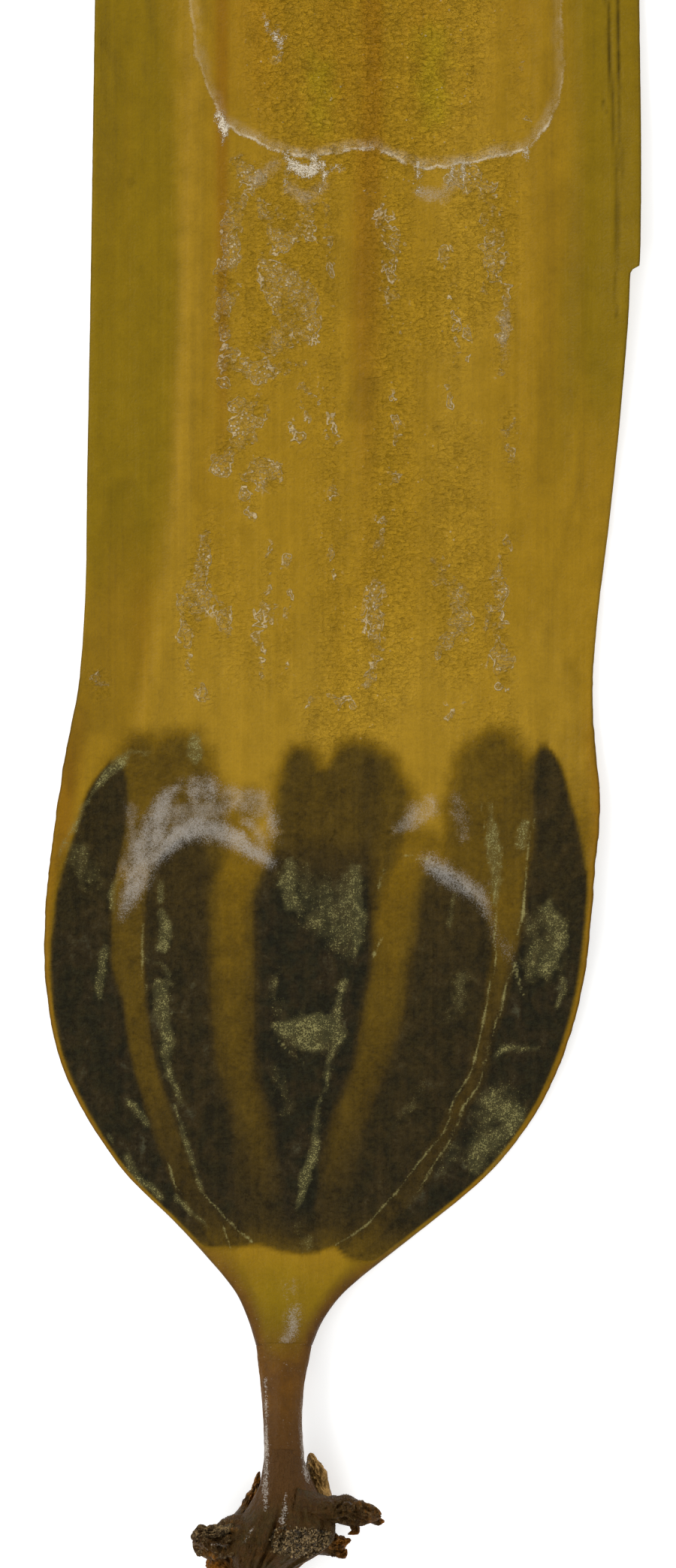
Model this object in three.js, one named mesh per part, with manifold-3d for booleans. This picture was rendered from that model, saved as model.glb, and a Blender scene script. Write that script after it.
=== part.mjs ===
// Kelp frond: a strap-shaped blade, its stipe and a small flared holdfast, lying flat.
// Millimetres, +Z up. The frond runs along +Y: holdfast at -Y, blade tip at +Y.
// The outline is drawn with x = 0 on the stipe's axis and y = 0 at the holdfast's lower edge;
// the last lines move the origin to the bottom centre of the whole frond's box.

import * as THREE from 'three';
import Module from 'manifold-3d';
import { mergeVertices } from 'three/addons/utils/BufferGeometryUtils.js';

const wasm = await Module();
wasm.setup();

// ---------- driving dimensions ----------

const GAP = 0.3;                  // clearance left where two pieces grew together

const BLADE_BASE = 42;            // y where the stipe opens into the blade
const BLADE_TIP = 371;            // y of the blade's worn tip
const BLADE_COLUMNS = 20;
const BLADE_ROWS = 56;
const ROW_CROWDING = 1.35;        // above 1 puts more rows near the blade's base

// Margins of the blade as [y, x] points, base to tip.
const LEFT_MARGIN = [
  [42, -5.3], [47, -6.8], [52, -9.1], [58, -13.9], [66, -21.3], [74, -29.5], [84, -36.6],
  [95, -42.0], [108, -44.8], [120, -45.3], [137, -43.8], [152, -41.6], [166, -38.9],
  [182, -37.6], [205, -37.2], [250, -36.4], [295, -35.7], [335, -35.0], [356, -31.5],
  [366, -26.0], [371, -17.0],
];
const RIGHT_MARGIN = [
  [42, 5.2], [47, 7.4], [52, 11.2], [58, 18.4], [66, 28.6], [74, 38.1], [84, 46.3],
  [95, 52.0], [108, 56.0], [122, 57.9], [137, 59.1], [143, 59.7], [154, 58.8], [165, 58.2],
  [176, 58.8], [199, 61.5], [222, 63.8], [244, 65.3], [296, 65.3], [335, 64.6], [354, 61.5],
  [365, 55.0], [371, 44.0],
];
const NOTCH_Y = 245.2;            // above this the right margin stands proud of the torn part
const NOTCH_STEP = 1.7;
const NOTCH_HEIGHT = 1.2;

const BASE_THICKNESS = 4.6;       // at the stipe
const SORUS_THICKNESS = 1.9;      // in the fertile part
const STRAP_THICKNESS = 1.4;      // in the plain part
const EDGE_THICKNESS = 0.7;
const BASE_RISE = 2.2;            // the base is carried off the surface by the stipe
const BASE_RISE_END = 84;
const MARGIN_LIFT = 3.4;          // how far the side margins curl off the surface
const MARGIN_ZONE = 0.72;         // of the half width, where that curl begins
const CURL_LENGTH = 118;          // wavelength of the curl along the margins
const FOLD_HEIGHT = 1.3;          // long soft folds in the side zones
const FOLD_WIDTH = 0.07;          // of the half width
const LEFT_FOLD = -0.56;
const RIGHT_FOLD = 0.62;

const STIPE_FOOT = 22;            // y where the stipe enters the holdfast
const STIPE_AXIS_FOOT_Z = 9;
const STIPE_AXIS_HEAD_Z = 4.8;
const STIPE_HALF_WIDTH = [[22, 3.75], [26, 3.6], [30, 3.7], [35, 4.1], [39, 4.7], [42, 5.25]];
const STIPE_HALF_HEIGHT = [[22, 3.1], [30, 2.9], [36, 2.6], [42, 2.35]];
const STIPE_CENTRE_X = [[22, 0.0], [29, -0.3], [35, -0.3], [42, -0.05]];

const FLARE_FOOT = -3;            // y of the holdfast's lower edge
const FLARE_HALF_WIDTH = [
  [-3, 4.6], [0, 8.2], [3, 10.6], [6, 11.3], [9, 10.4], [12, 8.2], [14, 6.7], [18, 4.8], [22, 3.9],
];
const FLARE_HALF_HEIGHT = [
  [-3, 3.8], [0, 6.8], [3, 8.7], [6, 9.0], [9, 8.1], [12, 6.4], [16, 4.7], [22, 3.2],
];
const FLARE_CENTRE_X = [[-3, -4.2], [0, -2.6], [3, -1.0], [6, -0.2], [9, 0.5], [14, 0.8], [22, 0.0]];
const FLARE_CENTRE_Z = 9;
const RIM_WAVES = 5;
const RIM_WAVE_DEPTH = 0.06;

// The holdfast's forks and flaps. Each runs along its path; thickness is across the path in
// the plan, depth is up and down. Half sizes at the root, the middle and the end.
const FORKS = [
  {
    name: 'holdfast_lobe_left',
    path: [[-5, 10.5, 9], [-10.5, 8.0, 9.4], [-14.5, 6.6, 9], [-17.4, 5.9, 8.2]],
    halfThickness: [2.8, 2.3, 1.7], halfDepth: [6.2, 5.4, 3.6], colour: 'crust',
  },
  {
    name: 'holdfast_lobe_right',
    path: [[5, 12, 9], [10, 11.2, 9.8], [14.5, 10.8, 10.2], [18.8, 10.4, 9.6]],
    halfThickness: [2.6, 2.4, 1.6], halfDepth: [5.6, 4.8, 3.0], colour: 'tissue',
  },
  {
    name: 'holdfast_lobe_lower_right',
    path: [[6, 6.4, 8], [9.5, 5.2, 8], [12.4, 4.6, 7.4]],
    halfThickness: [2.0, 1.7, 1.2], halfDepth: [4.6, 4.0, 2.4], colour: 'crust',
  },
  {
    name: 'holdfast_flap_back_left',
    path: [[-9.6, 6.5, 6.5], [-8.4, 11.0, 5.8], [-6.4, 14.8, 5.4], [-5.3, 18.4, 5.4]],
    halfThickness: [2.0, 1.3, 0.7], halfDepth: [3.6, 2.8, 1.4], colour: 'tissue',
  },
  {
    name: 'holdfast_flap_back_right',
    path: [[8.2, 10, 6.5], [7.8, 14.5, 5.6], [6.6, 18.2, 5.2], [5.7, 21.6, 5.0]],
    halfThickness: [1.9, 1.5, 0.8], halfDepth: [3.4, 2.8, 1.4], colour: 'tissue',
  },
  {
    name: 'holdfast_flap_lower_left',
    path: [[-6, 4, 6.4], [-10.2, 2.0, 6], [-12.8, -0.6, 5.4], [-13.8, -3.6, 5.2]],
    halfThickness: [2.8, 3.0, 1.6], halfDepth: [4.6, 3.8, 2.0], colour: 'tissue',
  },
];

const COLOURS = {
  blade: { color: 0x8a6410, roughness: 0.48, metalness: 0 },
  stipe: { color: 0x5c3a1c, roughness: 0.5, metalness: 0 },
  tissue: { color: 0x5a3a17, roughness: 0.6, metalness: 0 },
  crust: { color: 0x4a3c2a, roughness: 0.85, metalness: 0 },
};

// ---------- small helpers ----------

// A smooth curve through [position, value] points, read at any position.
function profile(points) {
  const positions = points.map((point) => point[0]);
  const values = points.map((point) => point[1]);
  const curve = new THREE.CubicInterpolant(positions, values, 1);
  const first = positions[0];
  const last = positions[positions.length - 1];
  return (at) => curve.evaluate(THREE.MathUtils.clamp(at, first, last))[0];
}

// Moves every point of a closed primitive by a function of its place, after merging its corners.
function bend(geometry, move) {
  geometry.deleteAttribute('normal');
  geometry.deleteAttribute('uv');
  const merged = mergeVertices(geometry);
  const place = merged.getAttribute('position');
  for (let i = 0; i < place.count; i += 1) {
    const moved = move(place.getX(i), place.getY(i), place.getZ(i));
    place.setXYZ(i, moved.x, moved.y, moved.z);
  }
  return merged;
}

function toSolid(geometry) {
  const vertProperties = Float32Array.from(geometry.getAttribute('position').array);
  const triVerts = Uint32Array.from(geometry.getIndex().array);
  return new wasm.Manifold(new wasm.Mesh({ numProp: 3, vertProperties, triVerts }));
}

function toGeometry(solid) {
  const mesh = solid.getMesh();
  const geometry = new THREE.BufferGeometry();
  geometry.setAttribute('position', new THREE.BufferAttribute(mesh.vertProperties, 3));
  geometry.setIndex(new THREE.BufferAttribute(mesh.triVerts, 1));
  return geometry;
}

function piece(name, geometry, colour) {
  geometry.computeVertexNormals();
  const mesh = new THREE.Mesh(geometry, new THREE.MeshStandardMaterial(COLOURS[colour]));
  mesh.name = name;
  return mesh;
}

// ---------- blade ----------

const leftMargin = profile(LEFT_MARGIN);
const rightMargin = profile(RIGHT_MARGIN);

// The torn notch: the right margin steps out over a short height.
function notchStep(y) {
  const height = THREE.MathUtils.smoothstep(y, NOTCH_Y - NOTCH_HEIGHT / 2, NOTCH_Y + NOTCH_HEIGHT / 2);
  return NOTCH_STEP * height;
}

// Rows crowd towards the base; the two rows nearest the notch are moved to its lower and upper edge.
function rowHeight(v) {
  const y = BLADE_BASE + GAP / 2 + (BLADE_TIP - BLADE_BASE - GAP / 2) * v ** ROW_CROWDING;
  const row = (BLADE_TIP - BLADE_BASE) * ROW_CROWDING / BLADE_ROWS;
  if (y <= NOTCH_Y && y > NOTCH_Y - row * 0.9) {
    return NOTCH_Y - NOTCH_HEIGHT / 2;
  }
  if (y > NOTCH_Y && y < NOTCH_Y + row * 0.9) {
    return NOTCH_Y + NOTCH_HEIGHT / 2;
  }
  return y;
}

// Height of the blade's underside: flat on the surface in the middle, margins curled up, two long
// soft folds, and the base carried up to the stipe.
function underside(u, y) {
  const margin = Math.max(0, (Math.abs(u) - MARGIN_ZONE) / (1 - MARGIN_ZONE));
  const phase = (2 * Math.PI * y) / CURL_LENGTH + (u < 0 ? 0.4 : 2.1);
  const curl = MARGIN_LIFT * margin ** 2 * (0.6 + 0.4 * Math.sin(phase));
  const fadeIn = THREE.MathUtils.smoothstep(y, 150, 190);
  const leftFold = Math.exp(-(((u - LEFT_FOLD) / FOLD_WIDTH) ** 2));
  const rightFold = Math.exp(-(((u - RIGHT_FOLD) / FOLD_WIDTH) ** 2));
  const folds = FOLD_HEIGHT * fadeIn * (leftFold + rightFold);
  const toBase = 1 - THREE.MathUtils.clamp((y - BLADE_BASE) / (BASE_RISE_END - BLADE_BASE), 0, 1);
  return curl * THREE.MathUtils.smoothstep(y, 55, 95) + folds + BASE_RISE * toBase ** 2;
}

// Thickness: a rounded section at the stipe that flattens into a thin strap.
function bladeThickness(u, y) {
  const flattening = THREE.MathUtils.smoothstep(y, BLADE_BASE, 78);
  const fertileEnd = THREE.MathUtils.smoothstep(y, 150, 175);
  const strap = THREE.MathUtils.lerp(SORUS_THICKNESS, STRAP_THICKNESS, fertileEnd);
  const middle = THREE.MathUtils.lerp(BASE_THICKNESS, strap, flattening);
  const squareness = THREE.MathUtils.lerp(2, 8, flattening);
  const fullness = Math.sqrt(Math.max(0, 1 - Math.abs(u) ** squareness));
  return EDGE_THICKNESS + (middle - EDGE_THICKNESS) * fullness;
}

function makeBlade() {
  const slab = new THREE.BoxGeometry(2, 1, 2, BLADE_COLUMNS, BLADE_ROWS, 1);
  const geometry = bend(slab, (u, v, side) => {
    const y = rowHeight(v + 0.5);
    const left = leftMargin(y);
    const right = rightMargin(y) + notchStep(y);
    const x = THREE.MathUtils.lerp(left, right, (u + 1) / 2);
    const z = underside(u, y) + (side > 0 ? bladeThickness(u, y) : 0);
    return new THREE.Vector3(x, y, z);
  });
  return piece('blade', geometry, 'blade');
}

// ---------- stipe and holdfast ----------

const stipeHalfWidth = profile(STIPE_HALF_WIDTH);
const stipeHalfHeight = profile(STIPE_HALF_HEIGHT);
const stipeCentreX = profile(STIPE_CENTRE_X);

// An oval stem that rises from the blade to the holdfast. grow widens it all round.
function stipeGeometry(grow) {
  const rod = new THREE.CylinderGeometry(1, 1, 1, 16, 10);
  return bend(rod, (across, along, up) => {
    const y = THREE.MathUtils.lerp(STIPE_FOOT + GAP / 2, BLADE_BASE - GAP / 2, along + 0.5);
    const rise = THREE.MathUtils.smoothstep(y, STIPE_FOOT, BLADE_BASE);
    const axisZ = THREE.MathUtils.lerp(STIPE_AXIS_FOOT_Z, STIPE_AXIS_HEAD_Z, rise);
    const x = stipeCentreX(y) + (stipeHalfWidth(y) + grow) * across;
    const z = axisZ + (stipeHalfHeight(y) + grow) * up;
    return new THREE.Vector3(x, y, z);
  });
}

const flareHalfWidth = profile(FLARE_HALF_WIDTH);
const flareHalfHeight = profile(FLARE_HALF_HEIGHT);
const flareCentreX = profile(FLARE_CENTRE_X);

// A trumpet-shaped disc with a wavy rim, its mouth away from the blade. grow widens it all round.
function flareGeometry(grow) {
  const rod = new THREE.CylinderGeometry(1, 1, 1, 20, 12);
  const foot = FLARE_FOOT - grow;
  const head = STIPE_FOOT - GAP / 2 + grow;
  return bend(rod, (across, along, up) => {
    const y = THREE.MathUtils.lerp(foot, head, along + 0.5);
    const angle = Math.atan2(up, across);
    const towardsRim = 1 - THREE.MathUtils.smoothstep(y, 4, 16);
    const wave = 1 - RIM_WAVE_DEPTH * towardsRim * (1 + Math.sin(RIM_WAVES * angle + 0.8));
    const x = flareCentreX(y) + (flareHalfWidth(y) * wave + grow) * across;
    const z = FLARE_CENTRE_Z + (flareHalfHeight(y) * wave + grow) * up;
    return new THREE.Vector3(x, y, z);
  });
}

// A flattened finger along a smooth path, its half sizes running from root to end.
function forkGeometry(fork, grow) {
  const path = new THREE.CatmullRomCurve3(fork.path.map((point) => new THREE.Vector3(...point)));
  const halfThickness = profile(fork.halfThickness.map((size, i) => [i / 2, size]));
  const halfDepth = profile(fork.halfDepth.map((size, i) => [i / 2, size]));
  const upward = new THREE.Vector3(0, 0, 1);
  const rod = new THREE.CylinderGeometry(1, 1, 1, 12, 8);
  return bend(rod, (across, along, up) => {
    const t = along + 0.5;
    const roundedEnd = Math.sqrt(Math.max(0.16, 1 - t ** 6));
    const tangent = path.getTangent(t);
    const sideways = tangent.clone().cross(upward).normalize();
    const point = path.getPoint(t);
    point.addScaledVector(tangent, grow * Math.sign(t - 0.5));
    point.addScaledVector(sideways, (halfThickness(t) * roundedEnd + grow) * across);
    point.addScaledVector(upward, (halfDepth(t) * roundedEnd + grow) * up);
    return point;
  });
}

// Each fork is trimmed clear of the disc, the stipe and the forks made before it.
function makeForks() {
  const neighbours = [toSolid(flareGeometry(GAP)), toSolid(stipeGeometry(GAP))];
  return FORKS.map((fork) => {
    let solid = toSolid(forkGeometry(fork, 0));
    neighbours.forEach((neighbour) => {
      solid = solid.subtract(neighbour);
    });
    neighbours.push(toSolid(forkGeometry(fork, GAP)));
    return piece(fork.name, toGeometry(solid), fork.colour);
  });
}

// ---------- the frond ----------

const frond = new THREE.Group();
frond.add(makeBlade());
frond.add(piece('stipe', stipeGeometry(0), 'stipe'));
frond.add(piece('holdfast', flareGeometry(0), 'crust'));
frond.add(...makeForks());

const box = new THREE.Box3().setFromObject(frond);
const centre = box.getCenter(new THREE.Vector3());
frond.position.set(-centre.x, -centre.y, -box.min.z);

const kelpFrond = new THREE.Group();
kelpFrond.add(frond);

export default kelpFrond;
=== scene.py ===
"""Kelp frond: a leathery blade with dark fertile patches, its stipe and its ragged holdfast."""

import itertools
import math

import bpy
import numpy as np
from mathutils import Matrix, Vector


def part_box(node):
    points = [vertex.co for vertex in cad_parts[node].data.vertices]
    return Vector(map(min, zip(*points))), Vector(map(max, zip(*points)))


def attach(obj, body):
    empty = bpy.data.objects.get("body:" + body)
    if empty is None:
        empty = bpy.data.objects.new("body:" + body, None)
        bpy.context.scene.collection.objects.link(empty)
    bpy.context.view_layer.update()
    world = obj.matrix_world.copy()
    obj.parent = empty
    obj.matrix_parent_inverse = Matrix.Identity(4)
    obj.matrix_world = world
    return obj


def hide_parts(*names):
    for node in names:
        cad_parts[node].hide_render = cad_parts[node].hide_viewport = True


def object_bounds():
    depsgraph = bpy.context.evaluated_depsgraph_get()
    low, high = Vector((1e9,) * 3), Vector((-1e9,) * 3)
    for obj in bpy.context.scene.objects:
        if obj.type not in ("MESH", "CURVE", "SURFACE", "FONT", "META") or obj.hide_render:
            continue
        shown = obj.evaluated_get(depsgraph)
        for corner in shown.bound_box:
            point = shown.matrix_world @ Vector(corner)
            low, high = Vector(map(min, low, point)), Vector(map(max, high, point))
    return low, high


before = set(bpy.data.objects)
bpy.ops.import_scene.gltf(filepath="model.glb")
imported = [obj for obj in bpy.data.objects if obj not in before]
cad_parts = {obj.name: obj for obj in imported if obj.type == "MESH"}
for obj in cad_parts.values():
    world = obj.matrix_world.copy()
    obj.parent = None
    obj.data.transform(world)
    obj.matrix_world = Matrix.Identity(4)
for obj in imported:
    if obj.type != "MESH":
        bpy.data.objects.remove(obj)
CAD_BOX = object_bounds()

bl_info = {
    "name": "Kelp Frond",
    "version": (1, 0, 0),
    "blender": (4, 5, 0),
    "location": "View3D > Sidebar > Kelp Frond",
    "description": "Builds a dried kelp frond around its packed solids",
    "category": "Add Mesh",
}

MM = 0.001

# ---------- places taken from the frame, in millimetres ----------
# The frond's own plan: x to the right of the stipe's axis, y up the blade from where it
# leaves the stipe, z above the surface that it lies on.

BLADE_LOW, BLADE_HIGH = (np.array(corner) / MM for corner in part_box("blade"))
STIPE_LOW, STIPE_HIGH = (np.array(corner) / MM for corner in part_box("stipe"))
PLAN_ORIGIN = np.array([(STIPE_LOW[0] + STIPE_HIGH[0]) / 2, BLADE_LOW[1], 0.0])
BLADE_LENGTH = BLADE_HIGH[1] - BLADE_LOW[1]

# ---------- how finely the meshes are drawn ----------

BLADE_COLUMNS = 156
BLADE_ROWS = 488
STIPE_RINGS, STIPE_SIDES = 120, 96
DISC_RINGS, DISC_SIDES = 150, 220
FORK_RINGS, FORK_SIDES = 90, 72

# ---------- the blade's form, in millimetres ----------

# Where along the blade the wave of its curled margins begins, its length, and the left and right
# margin's phases.
CURL_START, CURL_WAVE, CURL_PHASES = 95.496, 118, (0.4, 2.1)
# How far the blade's foot is lifted, and how thick it is there.
FOOT_RISE, FOOT_THICKNESS = 2.2, 4.6
RISE_REACH = 42
# How far the stipe runs into the disc and into the blade.
INTO_DISC, INTO_BLADE = 3.0, 0.5
# How far down the blade the worn tip reaches, and its tears: place across, half width and depth.
TIP_REACH = 42
TEARS = ((0.31, 0.025, 9.0), (-0.42, 0.02, 5.0))

# ---------- markings of the blade, in the frond's plan ----------
# A stroke is a chain of (x, y, radius) points. Where it has a strength, that comes first.

# The dark fertile patches: rows of (y, left, right) from the top down, then how soft the left and
# right edges are.
SORI = {
    "outer_left": ([
        (110, -33, -31), (107, -35.5, -29.8), (103.5, -37.5, -29.5), (97.5, -39.5, -30),
        (91, -41.5, -31), (83.5, -43.2, -32.5), (73.5, -44, -32.5), (63.5, -43.8, -30),
        (55.5, -42.6, -29), (44.5, -38.8, -26), (33, -31.6, -22), (27, -26.8, -19.5),
        (21.5, -20.6, -15), (16, -14.5, -11),
    ], 1.6, 1.5),
    "inner_left": ([
        (96.5, -18, -15), (94.5, -21, -13.5), (91.5, -24, -12.8), (87.5, -26, -12.5),
        (83.5, -26.5, -13.3), (63.5, -26, -13), (55.5, -25, -12.3), (44.5, -21.5, -9.3),
        (33, -17.5, -7.3), (27, -14.5, -7), (20.5, -7.5, -5.5),
    ], 1.6, 5.4),
    "middle": ([
        (109, 1.5, 17.2), (103, -1.3, 17.4), (98, -1.5, 17.5), (93, -2.5, 17), (87.5, -5, 17),
        (83.5, -6, 16.8), (75.5, -6, 16.8), (63.5, -6, 15.2), (55.5, -6, 14.2), (49.5, -5, 12.3),
        (44.5, -3.7, 10), (37, -2.6, 8), (29, -1.7, 7), (23.5, -2, 6.5), (16, -3, 9),
    ], 4.4, 3.4),
    "inner_right": ([
        (90.5, 26.5, 29), (87.5, 25.7, 33), (83.5, 25, 37), (75.5, 24, 39.3), (71, 23, 38.8),
        (63.5, 22, 37.5), (55.5, 19.5, 36), (49.5, 17.5, 34.5), (44.5, 15.5, 31.5), (37, 13, 27.5),
        (29, 11, 21.5), (23.5, 10.3, 16.5), (18, 9.5, 11.5),
    ], 5.4, 1.7),
    "outer_right": ([
        (113, 48.6, 49.4), (110.5, 47.2, 51.4), (107.5, 46.6, 52.8), (102, 46.6, 54.2),
        (97, 47, 55.5), (93, 46.5, 56.2), (85.5, 45, 57.6), (77.5, 44.3, 58), (71, 42.5, 57.5),
        (63.5, 41, 55.5), (58, 39, 54), (49.5, 37, 51.5), (45, 34.5, 49.8), (38, 31, 46),
        (34, 28, 42), (28.5, 25, 37), (24.5, 21, 32), (15, 12, 24),
    ], 3, 1.6),
}
# How dark each one is at its top and below, and the heights where it turns from one to the other.
SORUS_DEPTH = {
    "outer_left": (0.84, 0.95, 66, 92), "inner_left": (0.68, 0.88, 66, 92),
    "middle": (0.60, 0.98, 82, 98), "inner_right": (0.70, 0.84, 66, 92),
    "outer_right": (0.84, 0.96, 66, 92),
}
# The two round tops of the middle one, and half-dark fingers above and between them all.
MIDDLE_TOPS = [
    [(3.2, 109, 4.1), (3.2, 100, 5.4)],
    [(13.4, 109.8, 4.6), (11.5, 99, 6.4)],
]
FINGERS = [
    (0.50, [(-19, 112.6, 3.9), (-20.5, 108.5, 7.4), (-18.5, 100.5, 8.8), (-19, 94, 9.6)]),
    (0.48, [(-27, 112, 4.2), (-29, 105.5, 6), (-30, 94, 6)]),
    (0.34, [(23, 96, 3), (29, 92.5, 4)]),
    (0.50, [(40, 112.7, 4.2), (39.4, 108, 7.4), (38.4, 99, 8.8), (38, 91, 8.7)]),
    (0.55, [(46.8, 108.8, 2.6), (45, 104, 4.2), (43, 96, 6)]),
    (0.58, [(18.4, 108.2, 3.6), (19.6, 103, 4.6), (19.2, 96, 4.4), (17, 83, 2.2)]),
    (0.30, [(-9, 98, 3), (-6.5, 102, 3)]),
]

# The strips between the sori: the middle line as (x, y), then how dark it is as (y, darkness).
STRIPS = [
    ([(-31.5, 92), (-32, 83), (-29.5, 64), (-25, 45), (-19.5, 30), (-10, 19)],
     [(97, 0), (90, 0.32), (80, 0.54), (54, 0.56), (42, 0.66), (25, 0.78), (16, 0.85)]),
    ([(-10, 95), (-9.7, 83), (-9.5, 64), (-7.5, 50), (-5.5, 37), (-4.5, 20)],
     [(99, 0), (92, 0.30), (82, 0.42), (62, 0.52), (45, 0.60), (34, 0.70), (24, 0.85), (16, 0.9)]),
    ([(21.5, 95), (20.5, 83), (17.6, 64), (14.5, 50), (10.5, 37), (8.5, 20)],
     [(99, 0), (92, 0.28), (82, 0.42), (62, 0.52), (45, 0.60), (34, 0.68), (24, 0.85), (16, 0.9)]),
    ([(42, 97), (42, 83), (39.5, 64), (35.5, 49), (29, 37), (18, 21)],
     [(112, 0), (104, 0.2), (96, 0.34), (86, 0.44), (74, 0.54), (64, 0.68), (45, 0.70), (25, 0.78),
      (16, 0.85)]),
]

# The lower edge of the fertile part, as (x, y).
FERTILE_FOOT = [
    (-24, 20), (-17, 19), (-12.5, 18.2), (-8.5, 18.4), (-5, 18.9), (-1, 17.6), (3, 17.2), (6, 17.4),
    (9.5, 18.3), (12, 16.4), (18, 15.5), (26, 17),
]

# Grey bloom dried on in arches, and thinner grey haze.
FROST = [
    (0.9, [(-19.5, 105.5, 0.6), (-21.5, 103.5, 1.6), (-24, 98.5, 2.6), (-26, 93.5, 3.2), (-28, 88, 2.6),
            (-29, 84.5, 1.6), (-30.6, 80.5, 0.4)]),
    (0.75, [(-16.4, 101.5, 1.2), (-16.2, 104.6, 2.2), (-14.2, 105.6, 2), (-13.6, 103.2, 1.6)]),
    (1, [(-25, 91, 1.2), (-21.5, 95.2, 2.1), (-17.5, 97.4, 2.4), (-13, 97, 2.2), (-9, 95.3, 2),
           (-5.5, 93, 1.6), (-3, 91, 0.9)]),
    (0.7, [(-3.2, 102, 0.6), (-2.2, 99, 1.5), (-1.9, 96, 0.9)]),
    (0.85, [(26.5, 91.3, 1.2), (30, 89.3, 2), (33, 87.4, 2.3), (36.3, 84.7, 1.8), (38, 81.3, 1)]),
    (0.5, [(38, 81.3, 1), (40, 77, 1), (42, 74.3, 1.3), (43.4, 71.8, 0.5)]),
    (0.5, [(36.5, 85.5, 1), (38.9, 87, 0.6)]),
    (0.55, [(32.8, 103, 0.9), (33, 99.5, 1.8), (34, 96, 1.1)]),
    (0.95, [(1.7, 7, 0.9), (1.5, 4.6, 1.3), (1.1, 2, 1.1)]),
    (0.45, [(0.6, 10.6, 1), (0.2, 9.4, 0.8)]),
]
HAZE = [
    [(-10, 103.5, 2.6), (-5, 102, 2.8)],
    [(-22, 99.5, 2.4), (-12, 101, 2.4)],
    [(-6.5, 98.5, 1.2), (-4.5, 95.5, 1.2)],
    [(22, 98, 1.6), (25, 100, 2.4), (28, 101.5, 1.8)],
    [(-29, 101, 1), (-28, 94, 1.6), (-31, 88, 1.2)],
    [(1, 218.5, 1.2), (4, 216.5, 1.6), (7, 218.5, 1.6)],
    [(-2, 222.5, 1.4), (-5.5, 220, 1.8)],
    [(25.5, 217.5, 1.2), (29.5, 216.5, 1.6), (32.5, 219, 1.4)],
    [(41.6, 197, 0.6), (41.6, 190, 1), (41.8, 186, 0.7)],
    [(1.4, 5, 0.7), (0.7, 3, 1), (0.2, 0.6, 0.9)],
    [(1, 9.6, 0.4), (1.6, 11.6, 0.5)],
]

# Rubbed yellow-green skin, and places where it is only faintly rubbed.
SCRAPES = [
    [(-26, 112, 0.7), (-29, 112.5, 0.5), (-31, 110, 1.5), (-33.5, 108, 1), (-36, 104, 0.5),
     (-38, 101.5, 0.6), (-39, 98, 0.5), (-41, 95, 0.4), (-42, 92.5, 0.5)],
    [(-17, 114.5, 1.3), (-17, 112, 1.6), (-16.8, 109.5, 0.7)],
    [(-31.5, 88, 0.6), (-32.5, 85, 0.8), (-32.5, 82, 0.5)],
    [(-34, 74.5, 1), (-34.5, 71, 1.1), (-34.5, 66, 0.8)],
    [(-22.7, 87.5, 0.4), (-23, 84, 0.6)],
    [(-23.2, 81, 1.1), (-22.2, 79, 1.4), (-23, 75.5, 1.3)],
    [(-26.5, 73.5, 0.25), (-23, 72, 0.3), (-22, 70.5, 0.5), (-21, 68.3, 0.4)],
    [(-23, 67.5, 1.7), (-23, 64, 1.5), (-22.5, 60.5, 1.3), (-22, 57.5, 1.2), (-22, 54, 1),
     (-21.5, 51, 0.7), (-20.5, 48, 0.4), (-19.5, 45.5, 0.3)],
    [(-20.5, 45, 0.35), (-19.5, 41.5, 0.55), (-18.2, 37.5, 0.6), (-17.5, 35, 0.5), (-16.2, 31.5, 0.4),
     (-15.4, 29.3, 0.5)],
    [(-29, 46, 0.5), (-27.5, 44.5, 0.8), (-26, 41.5, 0.7)],
    [(-33.5, 39.7, 0.5), (-32.8, 38.4, 0.4)],
    [(-29.5, 35.5, 1), (-28.5, 33.5, 1), (-25.5, 30.5, 0.8), (-23, 27.5, 0.5)],
    [(-20, 28, 0.7), (-17.5, 25.5, 0.6), (-15, 22.5, 0.3)],
    [(-1.5, 60.5, 1), (0.5, 59.5, 2), (3.5, 59.5, 2.2), (8, 60, 2.6), (10, 59, 2)],
    [(3, 57, 1.5), (6.5, 56, 1.1)],
    [(11, 68.5, 0.7), (10.5, 64, 0.8), (9.7, 59.5, 1), (9.4, 55.5, 0.7), (8.2, 51, 0.5),
     (7.6, 48, 0.4)],
    [(7, 46.5, 0.4), (6.5, 43, 0.7), (5.7, 38.5, 1), (5, 35, 1.3), (4.3, 32, 1.3), (4, 29, 1.1),
     (2.7, 26, 0.7)],
    [(1, 90.5, 1.3), (0.5, 86.5, 1.7), (1.5, 83, 1.5)],
    [(13, 90, 1.1), (13.5, 86, 1.5), (14, 81, 1.3), (14.2, 77.5, 1), (13, 73, 0.6)],
    [(39, 101.5, 0.4), (39.5, 97.5, 1.3), (40, 93, 1.4), (40, 89, 1.1), (40, 84, 0.6)],
    [(45, 98, 0.9), (45, 94.5, 0.8)],
    [(49.5, 83, 1.2), (51, 79, 1.9), (52.2, 75.5, 1.3), (50, 73, 1.9), (49, 71, 1.4)],
    [(52, 69, 0.4), (52.2, 67, 0.7), (51.7, 63.7, 0.5)],
    [(40, 54.5, 0.7), (41.5, 56, 0.6), (44.5, 55.5, 0.4), (48, 56, 0.3)],
    [(39.5, 46, 1.6), (42, 43.5, 2.2), (44.5, 43.5, 1.6), (41, 40, 2), (37.5, 37, 1.8),
     (36, 33.5, 1.4)],
    [(32, 84.5, 0.25), (31.5, 82, 0.35), (31, 79, 0.3)],
]
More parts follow.
